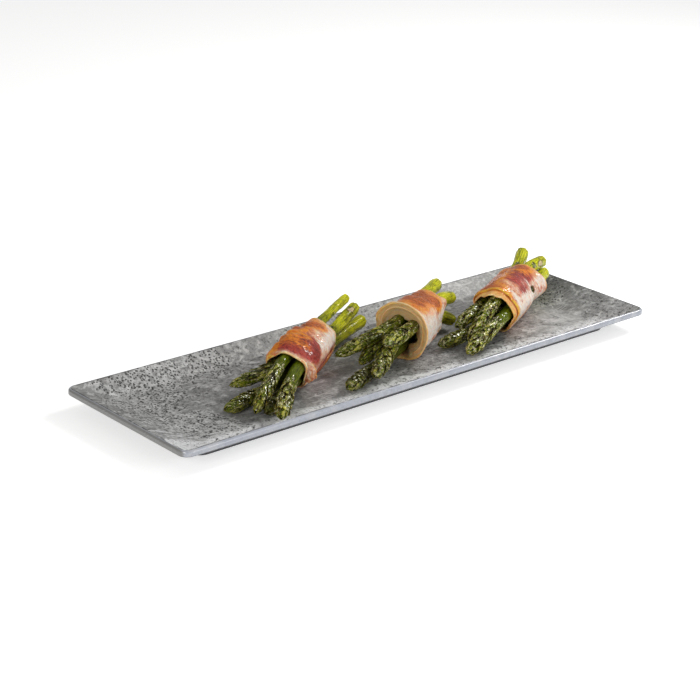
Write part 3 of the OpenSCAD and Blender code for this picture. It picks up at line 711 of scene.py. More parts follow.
# How each rasher lies. Angles are in degrees from the bundle's left side over its top. Places along the
# bundle are in millimetres, from the tips (less than 0) to the cut ends. edges has shares of the rasher's
# length with its front and back edge there, slack has places and heights, and funnel has angles and radii.
# bumps, browned, fatty and cured are spots, and holes have all but a spot's strength.
WRAPS = {
    "left": dict(
        start=196, turns=-2.0, round=0.3, closed_at=-46, wave=1.6, ruffle=0.3, wrinkles=1.0,
        slack=[(-46, 0), (-41, 0.2), (-34, 2.4), (-26, 3.2), (0, 2.4), (38, 0.9)],
        edges=[(0, -38, 4), (0.3, -38, 12), (0.42, -38, 22), (0.5, -45, 28), (0.62, -45.5, 34),
               (0.72, -44, 38.5), (0.85, -41, 38), (1, -40, 38)],
        bumps=[(30, -40, 8, 5, 5.2), (48, -32, 5, 4, 2.4), (55, -21, 4.5, 4, 2.6), (60, -8, 5, 5, 2.4),
               (57, 6, 6, 5, 1.6), (76, -24, 5, 5, 1.6), (92, -17, 6, 4, 1.2), (122, -22, 7, 9, 1.3),
               (96, 19, 13, 12, 1.6), (100, -23, 12, 8, 1.5), (66, -37, 7, 3, -1.0), (74, 7, 3.5, 9, -1.8),
               (66, -14, 9, 3, -1.6), (56, -27, 6, 2, -1.2), (118, -5, 12, 2.4, -1.9),
               (82, -31, 4, 6, -1.0), (108, -31, 10, 2.5, -1.0), (165, 2, 7, 14, 1.0),
               (150, -20, 4, 12, -0.9), (30, 20, 9, 12, 1.6)],
        brown=0.06,
        browned=[(34, -36, 7, 9, 0.9), (60, 2, 12, 14, 0.9), (83, 16, 12, 14, 0.8), (115, 20, 7, 9, 0.9),
                 (81, -13, 9, 6, 0.4), (104, -15, 6, 5, 0.8), (96, -20, 4, 4, 0.8), (60, -20, 4, 3, 0.7),
                 (40, 24, 14, 20, 1.0), (75, -28, 14, 8, 0.35), (215, 10, 12, 26, 0.5),
                 (112, -30, 9, 6, 0.3)],
        fatty=[(135, 23, 9, 12, 0.9), (169, 17, 8, 12, 0.7), (150, -3, 6, 10, 0.8),
               (100, -45.5, 26, 1.6, 0.9), (108, 4, 5, 8, 0.7), (104, 37, 24, 3, 0.8),
               (72, -12, 8, 3.5, 0.9), (92, 12, 5, 5, 0.7)],
        cured=[(69, -27, 14, 10, 1.2), (101, -26, 12, 12, 1.3), (128, -24, 9, 10, 1.1),
               (44, -26, 10, 9, 1.2), (52, -2, 7, 7, 0.8), (202, -4, 10, 20, 0.8), (194, 15, 9, 12, 0.6),
               (145, -30, 8, 8, 0.7), (85, -2, 12, 8, 0.4)],
        tail=dict(
            line=[(-40, -12.5, 27), (-41, -15.5, 25), (-42, -18.5, 21), (-42, -19.5, 16), (-41, -19, 11.5),
                  (-40, -17.5, 9)],
            across=[(0.5, -0.6, 0.6), (0.35, -0.8, 0.4), (0.28, -0.94, 0.15), (0.28, -0.95, 0.05),
                    (0.28, -0.95, 0), (0.3, -0.95, 0)],
            widths=[5, 7.5, 9.5, 10, 10, 7], browned=0.6, fatty=0.4, cured=0.25, curl=-3.0,
        ),
    ),
    "middle": dict(
        start=215, turns=-2.0, round=0.45, wave=1.2, ruffle=0.35, wrinkles=0.8,
        slack=[(-37, 4), (-15, 4.2), (0, 3.2), (12, 1.2), (36, 0)],
        funnel=[(0, 19.5), (18, 22), (36, 26.6), (50, 28), (71, 28.8), (91, 27.9), (120, 26), (148, 24.2),
                (169, 22.6), (197, 21.2), (227, 22), (270, 20), (315, 19.5), (360, 19.5)],
        funnel_from=-22, funnel_l=15,
        edges=[(0, -24, 0), (0.3, -24, 8), (0.4, -24, 18), (0.46, -36.5, 24), (0.65, -37, 36),
               (0.8, -37.5, 36.5), (1, -37, 36)],
        bumps=[(109, 11, 6, 6, 1.0), (150, 31, 5, 5, 0.8), (95, -8, 8, 8, 0.6)],
        brown=0.12,
        browned=[(88, 0, 13, 18, 0.85), (111, 4, 11, 16, 0.85), (128, 14, 8, 10, 0.9),
                 (116, -19, 9, 8, 0.7), (55, 0, 14, 26, 1.0), (109, 11, 5, 6, 0.5), (135, 18, 5, 5, 0.6),
                 (90, -37, 60, 2.2, 0.7), (70, 24, 12, 12, 0.9)],
        pale=0.25,
        fatty=[(150, -19, 7, 10, 0.9), (175, -5, 8, 20, 0.8), (190, -30, 8, 10, 0.9),
               (160, 20, 8, 10, 0.6)],
        cured=[(176, 2, 3, 20, 0.35), (200, -12, 4, 16, 0.3), (152, 4, 3, 16, 0.45),
               (164, -12, 2.5, 14, 0.4)],
        back_pulls=[(148, 4.5, 7), (185, 12, -9), (118, 7, -4)],
        linings=[
            dict(angles=(0, 250), u=(-36.9, -27.5), under=-2.0, fatty=0.8, browned=0.1, bow=1.0, pressed=5),
            dict(angles=(20, 236), u=(-35.2, -29), under=2.2, fatty=0.6, browned=0.3, bow=1.1),
        ],
    ),
    "right": dict(
        start=232, turns=-2.0, round=0.55, wave=1.2, ruffle=0.6, wrinkles=0.8, lined_at=-43,
        slack=[(-46, 0.6), (-30, 1.6), (0, 1.8), (42, 0.6)],
        edges=[(0, -47, 0), (0.07, -50, 8), (0.16, -48.5, 8), (0.22, -51, 8), (0.27, -48, 10),
               (0.33, -47, 12), (0.42, -43, 20), (0.5, -41, 30), (0.58, -42, 38), (0.7, -41.5, 42.5),
               (0.85, -39, 42), (1, -38, 42)],
        bumps=[(150, 37, 9, 6, 2.6), (178, 35, 8, 7, 4.0), (160, 11, 9, 9, -2.4), (183, 25, 6, 6, 1.2),
               (36, -36, 8, 8, 1.6), (150, 34, 6, 5, 0.8), (100, -14, 8, 10, 0.6), (30, 30, 9, 12, 2.5)],
        brown=0.08,
        browned=[(47, -16, 12, 20, 1.0), (75, 30, 16, 10, 0.6), (35, -30, 12, 16, 1.0),
                 (92, -36, 11, 7, 0.9), (130, -44, 11, 5, 0.9), (160, -46, 12, 5, 1.0),
                 (195, -46, 16, 5, 1.0), (96, 27, 9, 9, 0.8), (62, 0, 10, 16, 0.7), (120, -50, 40, 5, 0.9),
                 (70, 34, 16, 8, 0.8), (185, 38, 8, 6, 0.8), (225, -20, 14, 30, 0.4)],
        fatty=[(155, -25, 10, 12, 0.6), (157, -8, 9, 14, 0.5), (187, -30, 9, 12, 0.7),
               (178, 10, 9, 14, 0.5), (84, -51.5, 17, 4, 1.9), (130, 5, 6, 12, 0.3)],
        cured=[(100, -12, 9, 10, 0.7), (80, 5, 10, 14, 1.0), (33, 10, 10, 18, 0.9), (98, 12, 9, 12, 0.8),
               (140, -12, 5, 18, 0.5), (122, 18, 6, 12, 0.6)],
        holes=[(161, 11, 3.6, 6.4)],
        frills=[(84, 14, 3.6)],
    ),
}


def wrap_piece(name, bundle, plan, looks, material, seed):
    """The rasher of one bundle, with its folds and its loose end."""
    sheet = Sheet()
    thickness = looks.thickness / MM
    wind(bundle, sheet, plan, thickness, seed)
    for k, fold in enumerate(plan.get("linings", ())):
        lining(bundle, sheet, plan, fold, thickness * FOLD_SHARE, seed + 9 + k)
    if "tail" in plan:
        loose_end(sheet, thickness=thickness * TAIL_SHARE, seed=seed + 5, **plan["tail"])
    points, faces, layers = sheet.finish()
    return add_piece(name + "_rasher", bundle.placed(points), faces, layers, material,
                     bundle.name + "_bundle", name)


# Materials

class Graph:
    """Node material that is written a node at a time. An input takes a value or another node's output."""

    def __init__(self, name):
        self.material = bpy.data.materials.new(name)
        self.material.use_nodes = True
        self.tree = self.material.node_tree
        self.tree.nodes.clear()

    def node(self, kind, **settings):
        """A new node with its settings."""
        node = self.tree.nodes.new("ShaderNode" + kind)
        for key, value in settings.items():
            setattr(node, key, value)
        return node

    def feed(self, socket, value):
        """Gives an input its value or its link."""
        if isinstance(value, bpy.types.NodeSocket):
            self.tree.links.new(value, socket)
        elif hasattr(value, "__len__") and len(value) == 3 and socket.type == "RGBA":
            socket.default_value = (*value, 1)
        else:
            socket.default_value = value

    def add(self, kind, output=0, **inputs):
        """One output of a new node, by the names of its inputs."""
        node = self.node(kind)
        for key, value in inputs.items():
            self.feed(node.inputs[key.replace("_", " ")], value)
        return node.outputs[output]

    def math(self, operation, a, b=0.0):
        """Result of one sum."""
        node = self.node("Math", operation=operation)
        self.feed(node.inputs[0], a)
        self.feed(node.inputs[1], b)
        return node.outputs[0]

    def total(self, *terms):
        """Sum of (node output, weight) pairs."""
        result = self.math("MULTIPLY", *terms[0])
        for value, weight in terms[1:]:
            result = self.math("ADD", result, self.math("MULTIPLY", value, weight))
        return result

    def both(self, *shares):
        """Product of shares."""
        result = shares[0]
        for share in shares[1:]:
            result = self.math("MULTIPLY", result, share)
        return result

    def ramp(self, value, low, high):
        """0 at low and 1 at high, with a smooth step between."""
        node = self.node("MapRange", interpolation_type="SMOOTHSTEP")
        self.feed(node.inputs["Value"], value)
        node.inputs["From Min"].default_value, node.inputs["From Max"].default_value = low, high
        return node.outputs[0]

    def mix(self, share, a, b, blend="MIX"):
        """Colour a with a share of colour b."""
        node = self.node("Mix", data_type="RGBA", blend_type=blend)
        self.feed(node.inputs["Factor"], share)
        self.feed(node.inputs[6], a)
        self.feed(node.inputs[7], b)
        return node.outputs[2]

    def coats(self, colour, *rows):
        """Lays colours over one another. Each is a row of colour, source, low, high and further shares."""
        for top, source, low, high, *shares in rows:
            colour = self.mix(self.both(self.ramp(source, low, high), *shares), colour, top)
        return colour

    def values(self, *layers):
        """Values of the mesh, by the names of their layers."""
        return [self.node("Attribute", attribute_name=layer).outputs[2] for layer in layers]

    def place(self, scale=(1, 1, 1)):
        """Place on the object in metres, stretched."""
        return self.add("Mapping", Vector=self.add("TexCoord", 3), Scale=scale)

    def noise(self, vector, scale, detail=3.0, roughness=0.5, distortion=0.0):
        """Uneven values round a half."""
        return self.add("TexNoise", Vector=vector, Scale=scale, Detail=detail, Roughness=roughness,
                        Distortion=distortion)

    def near(self, centre, radius):
        """1 at a place and 0 at a distance from it."""
        node = self.node("VectorMath", operation="DISTANCE")
        self.feed(node.inputs[0], self.place())
        self.feed(node.inputs[1], centre)
        return self.math("SUBTRACT", 1.0, self.ramp(node.outputs["Value"], 0.0, radius))

    def bump(self, height, distance, strength=1.0):
        """Fine relief from a height of about 0 to 1."""
        return self.add("Bump", Height=height, Distance=distance, Strength=strength)

    def surface(self, **inputs):
        """The finished material, by the inputs of its surface."""
        self.feed(self.node("OutputMaterial").inputs["Surface"], self.add("BsdfPrincipled", **inputs))
        return self.material


# Pitted parts of the decor: place and reach in metres, and strength
PITTED = [
    ((-0.218, 0.043, 0.012), 0.056, 1.25), ((-0.182, 0.064, 0.014), 0.036, 1),
    ((-0.13, 0.064, 0.014), 0.036, 1), ((-0.205, -0.025, 0.008), 0.045, 1), ((-0.02, 0.07, 0.014), 0.036, 1),
    ((0.03, 0.05, 0.01), 0.036, 1), ((0.23, 0.03, 0.012), 0.05, 1), ((-0.235, 0.0, 0.015), 0.03, 1),
]
# The dark line along the decor's edge: how far in it starts, and how soon it is full
DARK_EDGE_IN = 3.6 * MM
DARK_EDGE_W = 0.7 * MM
# Painted highlight, a pale band along the front of the well: where it starts and is full, how much it
# wanders, and where it fades on the right
BAND_FROM, BAND_FULL, BAND_WANDER = 0.054, 0.064, 0.02
BAND_FADES, BAND_ENDS = 0.222, 0.24
# Painted highlight near the front of the left end: its place and reach in metres
PAINTED_HIGHLIGHT_CORNER = ((-0.245, -0.045, 0.016), 0.06)
# Painted highlight: a paler patch of the floor near the right end, its place and reach in metres
PAINTED_HIGHLIGHT_FLOOR = ((0.2, -0.036, 0.008), 0.05)
# Painted shade at the back of the right end: its place and reach in metres
PAINTED_SHADE_CORNER = ((0.258, 0.045, 0.016), 0.085)
# Heights between which the body under the rim is painted dark as shade, and the places at which the left end
# is painted grey as shade
PAINTED_SHADE_FROM, PAINTED_SHADE_FULL = 0.0156, 0.0148
SHADED_END_FROM, SHADED_END_FULL = -0.2625, -0.2642


def concrete_material(looks):
    """Concrete print: pale smears, dark speckles, patches of pits, and a dark line along its edge, with
    painted highlight along the front, near the front of the left end and on the floor near the right end, and
    painted shade at the back of the right end.
    """
    g = Graph("Concrete decor")
    here = g.place()
    zone = g.ramp(g.noise(here, 11, 3, 0.55), 0.42, 0.6)
    blot = g.noise(here, 75, 6, 0.72, 0.6)
    grain = g.noise(here, 330, 5, 0.8)
    dots = g.noise(here, 330, 2, 0.5)
    fine = g.noise(here, 1100, 3, 0.6)
    streak = g.noise(g.place((1, 5, 1)), 36, 6, 0.7, 1.0)
    split = g.node("SeparateXYZ")
    g.feed(split.inputs[0], here)
    x, y = split.outputs[0], split.outputs[1]

    worn = 0.0
    for centre, reach, strength in PITTED:
        worn = g.math("MAXIMUM", worn, g.both(g.near(centre, reach), strength))
    worn = g.ramp(g.total((worn, 0.8), (g.noise(here, 70, 4, 0.6), 1.0), (zone, 0.08)), 0.72, 0.86)
    cell = g.ramp(g.add("TexVoronoi", 0, Vector=here, Scale=420.0), 0.34, 0.44)
    pit = g.both(g.math("SUBTRACT", 1.0, cell), worn, g.ramp(g.noise(here, 300, 2), 0.4, 0.46))
    colour = g.coats(
        looks.concrete,
        (looks.blotch, blot, 0.5, 0.64, 0.7),
        (looks.smear_and_highlight, blot, 0.47, 0.36, 0.7),
        (looks.smear_and_highlight, streak, 0.52, 0.66, 0.7),
        (looks.smear_and_highlight, grain, 0.48, 0.38, 0.4),
        (looks.speckle_and_shade, grain, 0.52, 0.62, g.total((zone, 0.55), (1.0, 0.12))),
        (looks.speckle_and_shade, dots, 0.61, 0.66, g.total((zone, 0.8), (1.0, 0.1))),
        (looks.smear_and_highlight, g.noise(here, 260, 3), 0.4, 0.55, worn, 0.45),
    )
    colour = g.mix(g.both(pit, 0.95), colour, looks.pit)

    # Painted highlight: a pale band along the front of the well that fades before the right end, and a pale
    # patch near the front of the left end
    band = g.ramp(g.total((y, -1.0), (g.noise(here, 90, 5, 0.7), BAND_WANDER)), BAND_FROM, BAND_FULL)
    band = g.both(band, g.total((g.ramp(x, BAND_ENDS, BAND_FADES), 0.9), (1.0, 0.1)))
    highlight_corner = g.both(g.near(*PAINTED_HIGHLIGHT_CORNER), g.ramp(streak, 0.42, 0.6), 0.6)
    edge_x = g.math("SUBTRACT", g.math("ABSOLUTE", x), TRAY_L / 2 * MM - DARK_EDGE_IN)
    edge_y = g.math("SUBTRACT", g.math("ABSOLUTE", y), TRAY_W / 2 * MM - DARK_EDGE_IN)
    line = g.ramp(g.math("MAXIMUM", edge_x, edge_y), 0.0, DARK_EDGE_W)
    colour = g.coats(
        colour,
        # Painted highlight along the front and near the front of the left end
        (looks.painted_highlight, grain, 0.62, 0.5, g.math("MAXIMUM", band, highlight_corner), 0.9),
        # Painted highlight: pale smears laid on the floor near the right end
        (looks.smear_and_highlight, blot, 0.62, 0.42, g.near(*PAINTED_HIGHLIGHT_FLOOR), 0.75),
        # Painted shade at the back of the right end, in the colour of the dark speckles
        (looks.speckle_and_shade, blot, 0.28, 0.48, g.near(*PAINTED_SHADE_CORNER), 0.85),
        (looks.speckle_and_shade, g.noise(here, 85, 3), 0.4, 0.56, line, 0.85),
    )
    height = g.total((fine, 0.3), (grain, 0.5), (blot, 0.3), (pit, -1.6))
    return g.surface(Base_Color=colour, Roughness=g.total((grain, 0.25), (1.0, 0.32)),
                     Normal=g.bump(height, looks.relief), Specular_IOR_Level=0.5)


def melamine_material(looks):
    """Clouded grey body, with painted shade on its left end and under the rim."""
    g = Graph("Grey melamine")
    here = g.place()
    split = g.node("SeparateXYZ")
    g.feed(split.inputs[0], here)
    colour = g.coats(
        looks.melamine,
        (looks.blotch, g.noise(here, 600, 4, 0.7), 0.54, 0.7, 0.3),
        (looks.smear_and_highlight, g.noise(here, 60, 5, 0.65), 0.45, 0.7, 0.4),
        # Painted shade on the rim's left end
        (looks.end, split.outputs[0], SHADED_END_FROM, SHADED_END_FULL, 0.85),
        # Painted shade on the base and on the lowest part of the rim's face
        (looks.base, split.outputs[2], PAINTED_SHADE_FROM, PAINTED_SHADE_FULL),
    )
    return g.surface(Base_Color=colour, Roughness=g.total((g.noise(here, 120, 3), 0.16), (1.0, 0.2)),
                     Normal=g.bump(g.noise(here, 800, 3), looks.relief, 0.3),
                     Coat_Weight=0.4, Coat_Roughness=0.14)


def asparagus_material(looks):
    """Green skin with fibres, yellow-green cut ends, and bracts with painted shade in their gaps, pale points
    that are partly painted highlight, and painted glints.
    """
    g = Graph("Roasted asparagus")
    here = g.place()
    tip, butt, leaf, edge, tone, cut, blister, roast = g.values(
        "tipness", "buttness", "leaf", "leaf_edge", "tone", "cut_face", "blister", "roast")
    grain = g.node("Attribute", attribute_name="grain").outputs[1]
    fibre = g.noise(g.add("Mapping", Vector=grain, Scale=(0.35, 2.2, 2.2)), 1.0, 5, 0.7)
    thread = g.noise(g.add("Mapping", Vector=grain, Scale=(1.2, 7, 7)), 1.0, 4, 0.65)
    patch = g.noise(here, 70, 4, 0.6)
    fine = g.noise(here, 520, 4, 0.65)

    stem = g.coats(looks.shade, (looks.stem, fibre, 0.35, 0.65))
    burnt = g.total((g.noise(here, 130, 5, 0.7), 1.0), (roast, 0.12))
    ends = g.coats(
        looks.cut_shade,
        (looks.cut, fibre, 0.34, 0.54),
        # Pale raised fibres near the cut ends, partly painted highlight
        (looks.pale, thread, 0.54, 0.62, 0.75),
        (looks.shade, g.total((thread, 0.6), (patch, 0.6)), 0.6, 0.48, 0.8),
        (looks.char, burnt, 0.57, 0.65, 0.35),
    )
    skin = g.coats(
        stem,
        (ends, g.total((butt, 1.0), (patch, 0.5)), 0.3, 0.92),
        (looks.cut, thread, 0.58, 0.72, 0.4),
        (looks.shade, thread, 0.46, 0.34, 0.55),
        (looks.char, g.noise(here, 160, 5, 0.7), 0.58, 0.68, g.total((butt, -0.4), (1.0, 0.7))),
    )
    # Painted shade on the skin under the bracts of the tip
    skin = g.mix(tip, skin, looks.gap)

    # Brightness of a bract: darker at its base and paler at its point, as painted shade and painted
    # highlight, with random tone
    bright = g.total((leaf, 0.4), (tone, 0.45), (thread, 0.9), (fine, 0.9))
    ragged = g.ramp(g.total((patch, 0.6), (fine, 0.6)), 0.5, 0.7)
    bract = g.coats(
        looks.tip,
        (looks.bract, bright, 1.08, 1.42),
        # Pale points of the bracts, partly painted highlight
        (looks.pale, bright, 1.48, 1.62, 0.85),
        # Painted shade at the bases of the bracts
        (looks.gap, bright, 1.17, 0.98),
        (looks.roasted, edge, 0.62, 0.95, ragged, 0.85),
        (looks.gap, g.noise(here, 240, 5, 0.7), 0.55, 0.66, 0.75),
        # Painted glints: small cream highlights painted on the bracts
        (looks.glint, g.total((thread, 0.6), (g.noise(here, 380, 3), 0.6)), 0.66, 0.69, 0.9),
    )
    torn = g.total((blister, 0.9), (g.noise(here, 190, 4, 0.7), 1.3))
    colour = g.coats(
        skin,
        (bract, leaf, 0.02, 0.1),
        # Dull green by roasting and as painted shade
        (looks.dull, g.total((patch, 0.6), (fine, 0.5)), 0.4, 0.66, roast, 0.85),
        (looks.cut, fine, 0.3, 0.6, cut),
        (looks.char, blister, 0.08, 0.3, g.ramp(torn, 0.98, 1.08), 0.8),
        (looks.peel, blister, 0.15, 0.3, g.ramp(torn, 1.16, 1.28)),
    )
    contrast = g.ramp(g.total((thread, 0.7), (fine, 1.1)), 0.7, 1.1)
    colour = g.mix(g.total((tip, 0.3), (1.0, 0.4)), colour, contrast, "OVERLAY")
    height = g.total((thread, 0.9), (fine, 1.3), (fibre, 0.5))
    oiled = g.ramp(g.total((g.noise(here, 520, 3, 0.6), 1.0), (tip, 0.06)), 0.53, 0.59)
    return g.surface(Base_Color=colour, Roughness=g.total((fine, 0.3), (1.0, 0.3)),
                     Normal=g.bump(height, 0.9 * MM), Coat_Weight=oiled, Coat_Roughness=0.07, Coat_IOR=1.6,
                     Coat_Tint=(1, 0.97, 0.8, 1), Specular_IOR_Level=0.1)


def bacon_material(looks):
    """Streaked meat and fat, red where it is cured, orange-brown where it has caught the heat, with a paler
    inner face that is partly painted light.
    """
    g = Graph("Roasted bacon")
    run, across, browned, fatty, cured, inner = g.values(
        "run", "across", "browned", "fatty", "cured", "inner")
    here = g.place()

    def laid(along, over):
        """Place on the rasher, with its length and its width stretched."""
        return g.add("CombineXYZ", X=g.math("MULTIPLY", run, along), Y=g.math("MULTIPLY", across, over))

    bands = g.noise(laid(0.03, 6.0), 1.0, 5, 0.6, 0.9)
    strands = g.noise(laid(0.1, 42.0), 1.0, 4, 0.65, 0.5)
    mottle = g.noise(here, 120, 5, 0.65)
    fine = g.noise(here, 420, 4, 0.65)
    soft = g.total((mottle, 0.9), (fine, 0.35), (strands, 0.3))

    dark = g.total((cured, 0.9), (soft, 0.55), (bands, 0.3))
    darkest = g.total((cured, 0.7), (strands, 0.5), (fine, 0.5))
    fat = g.total((bands, 1.0), (fatty, 0.26), (cured, -0.3), (browned, -0.1), (strands, 0.3), (fine, 0.12))
    toast = g.total((browned, 0.7), (soft, 0.8), (bands, -0.2))
    rim = g.total((g.math("ABSOLUTE", g.math("SUBTRACT", across, 0.5)), 1.0), (fine, 0.05))
    rim_colour = g.coats(looks.rind, (looks.fat, fatty, 0.9, 1.3))
    colour = g.coats(
        looks.lean,
        (looks.pink, mottle, 0.38, 0.62),
        (looks.cured, dark, 0.7, 1.05),
        (looks.deep, darkest, 0.95, 1.3, 0.6),
        (looks.fat, fat, 0.66, 0.86, 0.92),
        (looks.crisp, toast, 0.62, 1.05, 0.9),
        (looks.scorched, toast, 1.12, 1.45, 0.8),
        (rim_colour, rim, 0.47, 0.515, g.total((browned, 0.4), (1.0, 0.65))),
    )
    # Inner face, paler partly as painted light inside the mouths
    lined = g.coats(
        looks.lining,
        (looks.pink, g.total((bands, 0.6), (strands, 0.5)), 0.5, 0.7, 0.6),
        (looks.rind, g.total((bands, 0.4), (soft, 0.5), (browned, 0.2)), 0.66, 0.84, 0.4),
    )
    colour = g.mix(g.both(inner, 0.9), colour, lined)
    contrast = g.ramp(g.total((strands, 0.9), (fine, 0.9), (mottle, 0.4)), 0.8, 1.3)
    colour = g.mix(g.total((inner, -0.3), (1.0, 0.55)), colour, contrast, "OVERLAY")
    height = g.total((bands, 0.7), (strands, 1.0), (mottle, 0.8), (fine, 1.4))
    greasy = g.ramp(g.total((g.noise(here, 560, 4, 0.65), 1.0), (inner, -0.15)), 0.5, 0.6)
    return g.surface(Base_Color=colour, Roughness=g.total((mottle, 0.3), (1.0, 0.3)),
                     Normal=g.bump(height, 1.3 * MM), Specular_IOR_Level=0.3, Coat_Weight=g.both(greasy, 0.7),
                     Coat_Roughness=0.1, Coat_IOR=1.6, Subsurface_Weight=0.34,
                     Subsurface_Radius=(2.4 * MM, 1.3 * MM, 0.8 * MM), Subsurface_Scale=1.0)


# Stage

FLOOR_REACH, FLOOR_DROP, FLOOR_GLOW = 6.0, 0.2 * MM, 0.55
# Name, place and size in metres, and colour. The stage's settings have their power under the same names.
LAMPS = [
    ("key", (1.15, 0.0, 1.0), 0.5, (1, 0.99, 0.97)),
    ("side", (-1.5, -0.7, 0.66), 0.6, (1, 0.98, 0.95)),
    ("front", (0.55, -1.5, 0.6), 0.8, (0.96, 0.98, 1)),
]
# The camera of the photograph: its direction in degrees, and its place along its own axes in millimetres
AZIMUTH, ELEVATION, ROLL = -42.198, 21.428, 2.071
CAMERA_BACK, CAMERA_LEFT, CAMERA_UP = 1681.503, 20.269, 14.458
SENSOR_W = 36.0
NEAREST, FARTHEST = 0.05, 50.0


def set_up(item, right, up, back, place):
    """Puts a lamp or camera at a place, looking against its back direction."""
    item.matrix_world = Matrix([[right[k], up[k], back[k], place[k]] for k in range(3)] + [[0, 0, 0, 1]])
    bpy.context.scene.collection.objects.link(item)


def floor_material(looks):
    """White floor: it shows white to the camera and in reflections, and still takes the tray's shadow."""
    g = Graph("White floor")
    seen = 0.0
    ray = g.node("LightPath").outputs
    for kind in ("Is Camera Ray", "Is Glossy Ray", "Is Transmission Ray"):
        seen = g.math("MAXIMUM", seen, ray[kind])
    both = g.node("AddShader")
    g.feed(both.inputs[0], g.add("BsdfDiffuse", Color=looks.floor))
    g.feed(both.inputs[1], g.add("Emission", Color=(1, 1, 1), Strength=g.math("MULTIPLY", seen, FLOOR_GLOW)))
    g.feed(g.node("OutputMaterial").inputs["Surface"], both.outputs[0])
    return g.material


def lay_floor(looks):
    """A floor just under the tray, which is no part of it."""
    r = FLOOR_REACH
    mesh = bpy.data.meshes.new("floor")
    mesh.from_pydata([(-r, -r, 0), (r, -r, 0), (r, r, 0), (-r, r, 0)], [], [(0, 1, 2, 3)])
    mesh.materials.append(floor_material(looks))
    floor = bpy.data.objects.new("floor", mesh)
    floor.location.z = -FLOOR_DROP
    bpy.context.scene.collection.objects.link(floor)


def light_world(looks):
    """Even light from all round, which shows white to the camera."""
    world = bpy.data.worlds.new("Studio")
    bpy.context.scene.world = world
    world.use_nodes = True
    tree = world.node_tree
    tree.nodes.clear()
    path, seen, strength, sky, out = (tree.nodes.new("ShaderNode" + kind) for kind in (
        "LightPath", "Math", "MapRange", "Background", "OutputWorld"))
    seen.operation = "MAXIMUM"
    strength.inputs["To Min"].default_value = looks.fill
    strength.inputs["To Max"].default_value = 1.0
    sky.inputs["Color"].default_value = (1, 1, 1, 1)
    tree.links.new(path.outputs["Is Camera Ray"], seen.inputs[0])
    tree.links.new(path.outputs["Is Transmission Ray"], seen.inputs[1])
    tree.links.new(seen.outputs[0], strength.inputs["Value"])
    tree.links.new(strength.outputs[0], sky.inputs["Strength"])
    tree.links.new(sky.outputs[0], out.inputs["Surface"])


def hang_lamp(name, place, size, watts, colour):
    """A round lamp that looks at the middle of the tray."""
    data = bpy.data.lights.new(name, "AREA")
    data.shape, data.size, data.energy, data.color = "DISK", size, watts, colour
    back = np.array(place, float)
    back /= np.linalg.norm(back)
    right = np.cross([0, 0, 1.0], back)
    right /= np.linalg.norm(right)
    set_up(bpy.data.objects.new(name, data), right, np.cross(back, right), back, place)


def set_camera(looks):
    """The camera of the photograph."""
    data = bpy.data.cameras.new("camera")
    data.lens, data.sensor_width = looks.focal, SENSOR_W
    data.clip_start, data.clip_end = NEAREST, FARTHEST
    azimuth, elevation, roll = (math.radians(a) for a in (AZIMUTH, ELEVATION, ROLL))
    flat = math.cos(elevation)
    back = np.array([math.sin(azimuth) * flat, -math.cos(azimuth) * flat, math.sin(elevation)])
    level = np.array([math.cos(azimuth), math.sin(azimuth), 0])
    over = np.cross(back, level)
    right = math.cos(roll) * level + math.sin(roll) * over
    up = -math.sin(roll) * level + math.cos(roll) * over
    camera = bpy.data.objects.new("camera", data)
    set_up(camera, right, up, back, (back * CAMERA_BACK - right * CAMERA_LEFT + up * CAMERA_UP) * MM)
    bpy.context.scene.camera = camera


# Operators

class TRAY_OT_finish_tray(bpy.types.Operator):
    """Gives the moulded tray and its decor their finish"""
    bl_idname = "tray.finish_tray"
    bl_label = "Finish the tray"

    def execute(self, context):
        looks = context.scene.tray_looks
        for node, make in (("tray", melamine_material), ("concrete_decor", concrete_material)):
            material = make(looks)
            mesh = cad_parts[node].data
            if not mesh.materials:
                mesh.materials.append(material)
            for slot in range(len(mesh.materials)):
                mesh.materials[slot] = material
        return {"FINISHED"}


class TRAY_OT_lay_spears(bpy.types.Operator):
    """Makes the roasted spears, bract by bract"""
    bl_idname = "tray.lay_spears"
    bl_label = "Lay the spears"

    def execute(self, context):
        looks = context.scene.spear_looks
        material = asparagus_material(looks)
        for number, bundle in enumerate(BUNDLES.values()):
            for i in range(len(bundle.radii)):
                name = f"{bundle.name}_spear_{i + 1}"
                spear_piece(name, bundle, i, looks, material, 100 * number + 7 * i + 3)
        return {"FINISHED"}


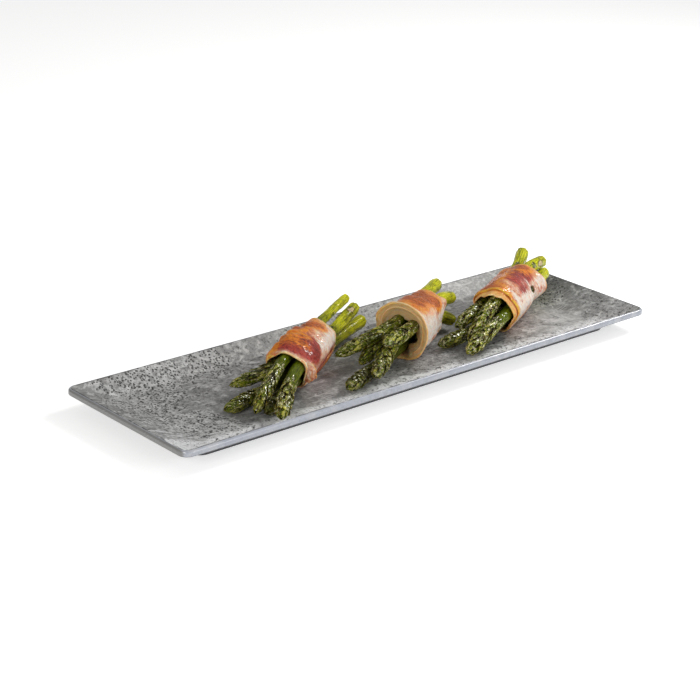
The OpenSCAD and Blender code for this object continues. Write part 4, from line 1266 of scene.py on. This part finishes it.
class TRAY_OT_wind_bacon(bpy.types.Operator):
    """Winds a rasher of bacon round each bundle"""
    bl_idname = "tray.wind_bacon"
    bl_label = "Wind the bacon"

    def execute(self, context):
        looks = context.scene.bacon_looks
        material = bacon_material(looks)
        for number, bundle in enumerate(BUNDLES.values()):
            wrap_piece(bundle.name + "_wrap", bundle, WRAPS[bundle.name], looks, material, 11 + 20 * number)
        return {"FINISHED"}


class TRAY_OT_set_stage(bpy.types.Operator):
    """Sets the floor, the light and the camera"""
    bl_idname = "tray.set_stage"
    bl_label = "Set the stage"

    def execute(self, context):
        looks = context.scene.stage_looks
        lay_floor(looks)
        light_world(looks)
        for name, place, size, colour in LAMPS:
            hang_lamp(name, place, size, getattr(looks, name), colour)
        set_camera(looks)
        context.scene.view_settings.view_transform = "Standard"
        return {"FINISHED"}


class TRAY_PT_panel(bpy.types.Panel):
    """Lists the steps of the tray and their settings"""
    bl_label = "Asparagus Tray"
    bl_idname = "TRAY_PT_panel"
    bl_space_type = "VIEW_3D"
    bl_region_type = "UI"
    bl_category = "Asparagus Tray"

    def draw(self, context):
        for name, (_, operator) in STEPS.items():
            box = self.layout.box()
            looks = getattr(context.scene, name)
            for key in looks.__annotations__:
                box.prop(looks, key)
            box.operator(operator.bl_idname)


STEPS = {
    "tray_looks": (TrayLooks, TRAY_OT_finish_tray),
    "spear_looks": (SpearLooks, TRAY_OT_lay_spears),
    "bacon_looks": (BaconLooks, TRAY_OT_wind_bacon),
    "stage_looks": (StageLooks, TRAY_OT_set_stage),
}
CLASSES = [item for pair in STEPS.values() for item in pair] + [TRAY_PT_panel]


def register():
    for item in CLASSES:
        bpy.utils.register_class(item)
    for name, (looks, _) in STEPS.items():
        setattr(bpy.types.Scene, name, PointerProperty(type=looks))


def unregister():
    for name in STEPS:
        delattr(bpy.types.Scene, name)
    for item in reversed(CLASSES):
        bpy.utils.unregister_class(item)


def main():
    register()
    bpy.ops.tray.set_stage()
    bpy.ops.tray.finish_tray()
    bpy.ops.tray.lay_spears()
    bpy.ops.tray.wind_bacon()


if __name__ == "__main__":
    main()
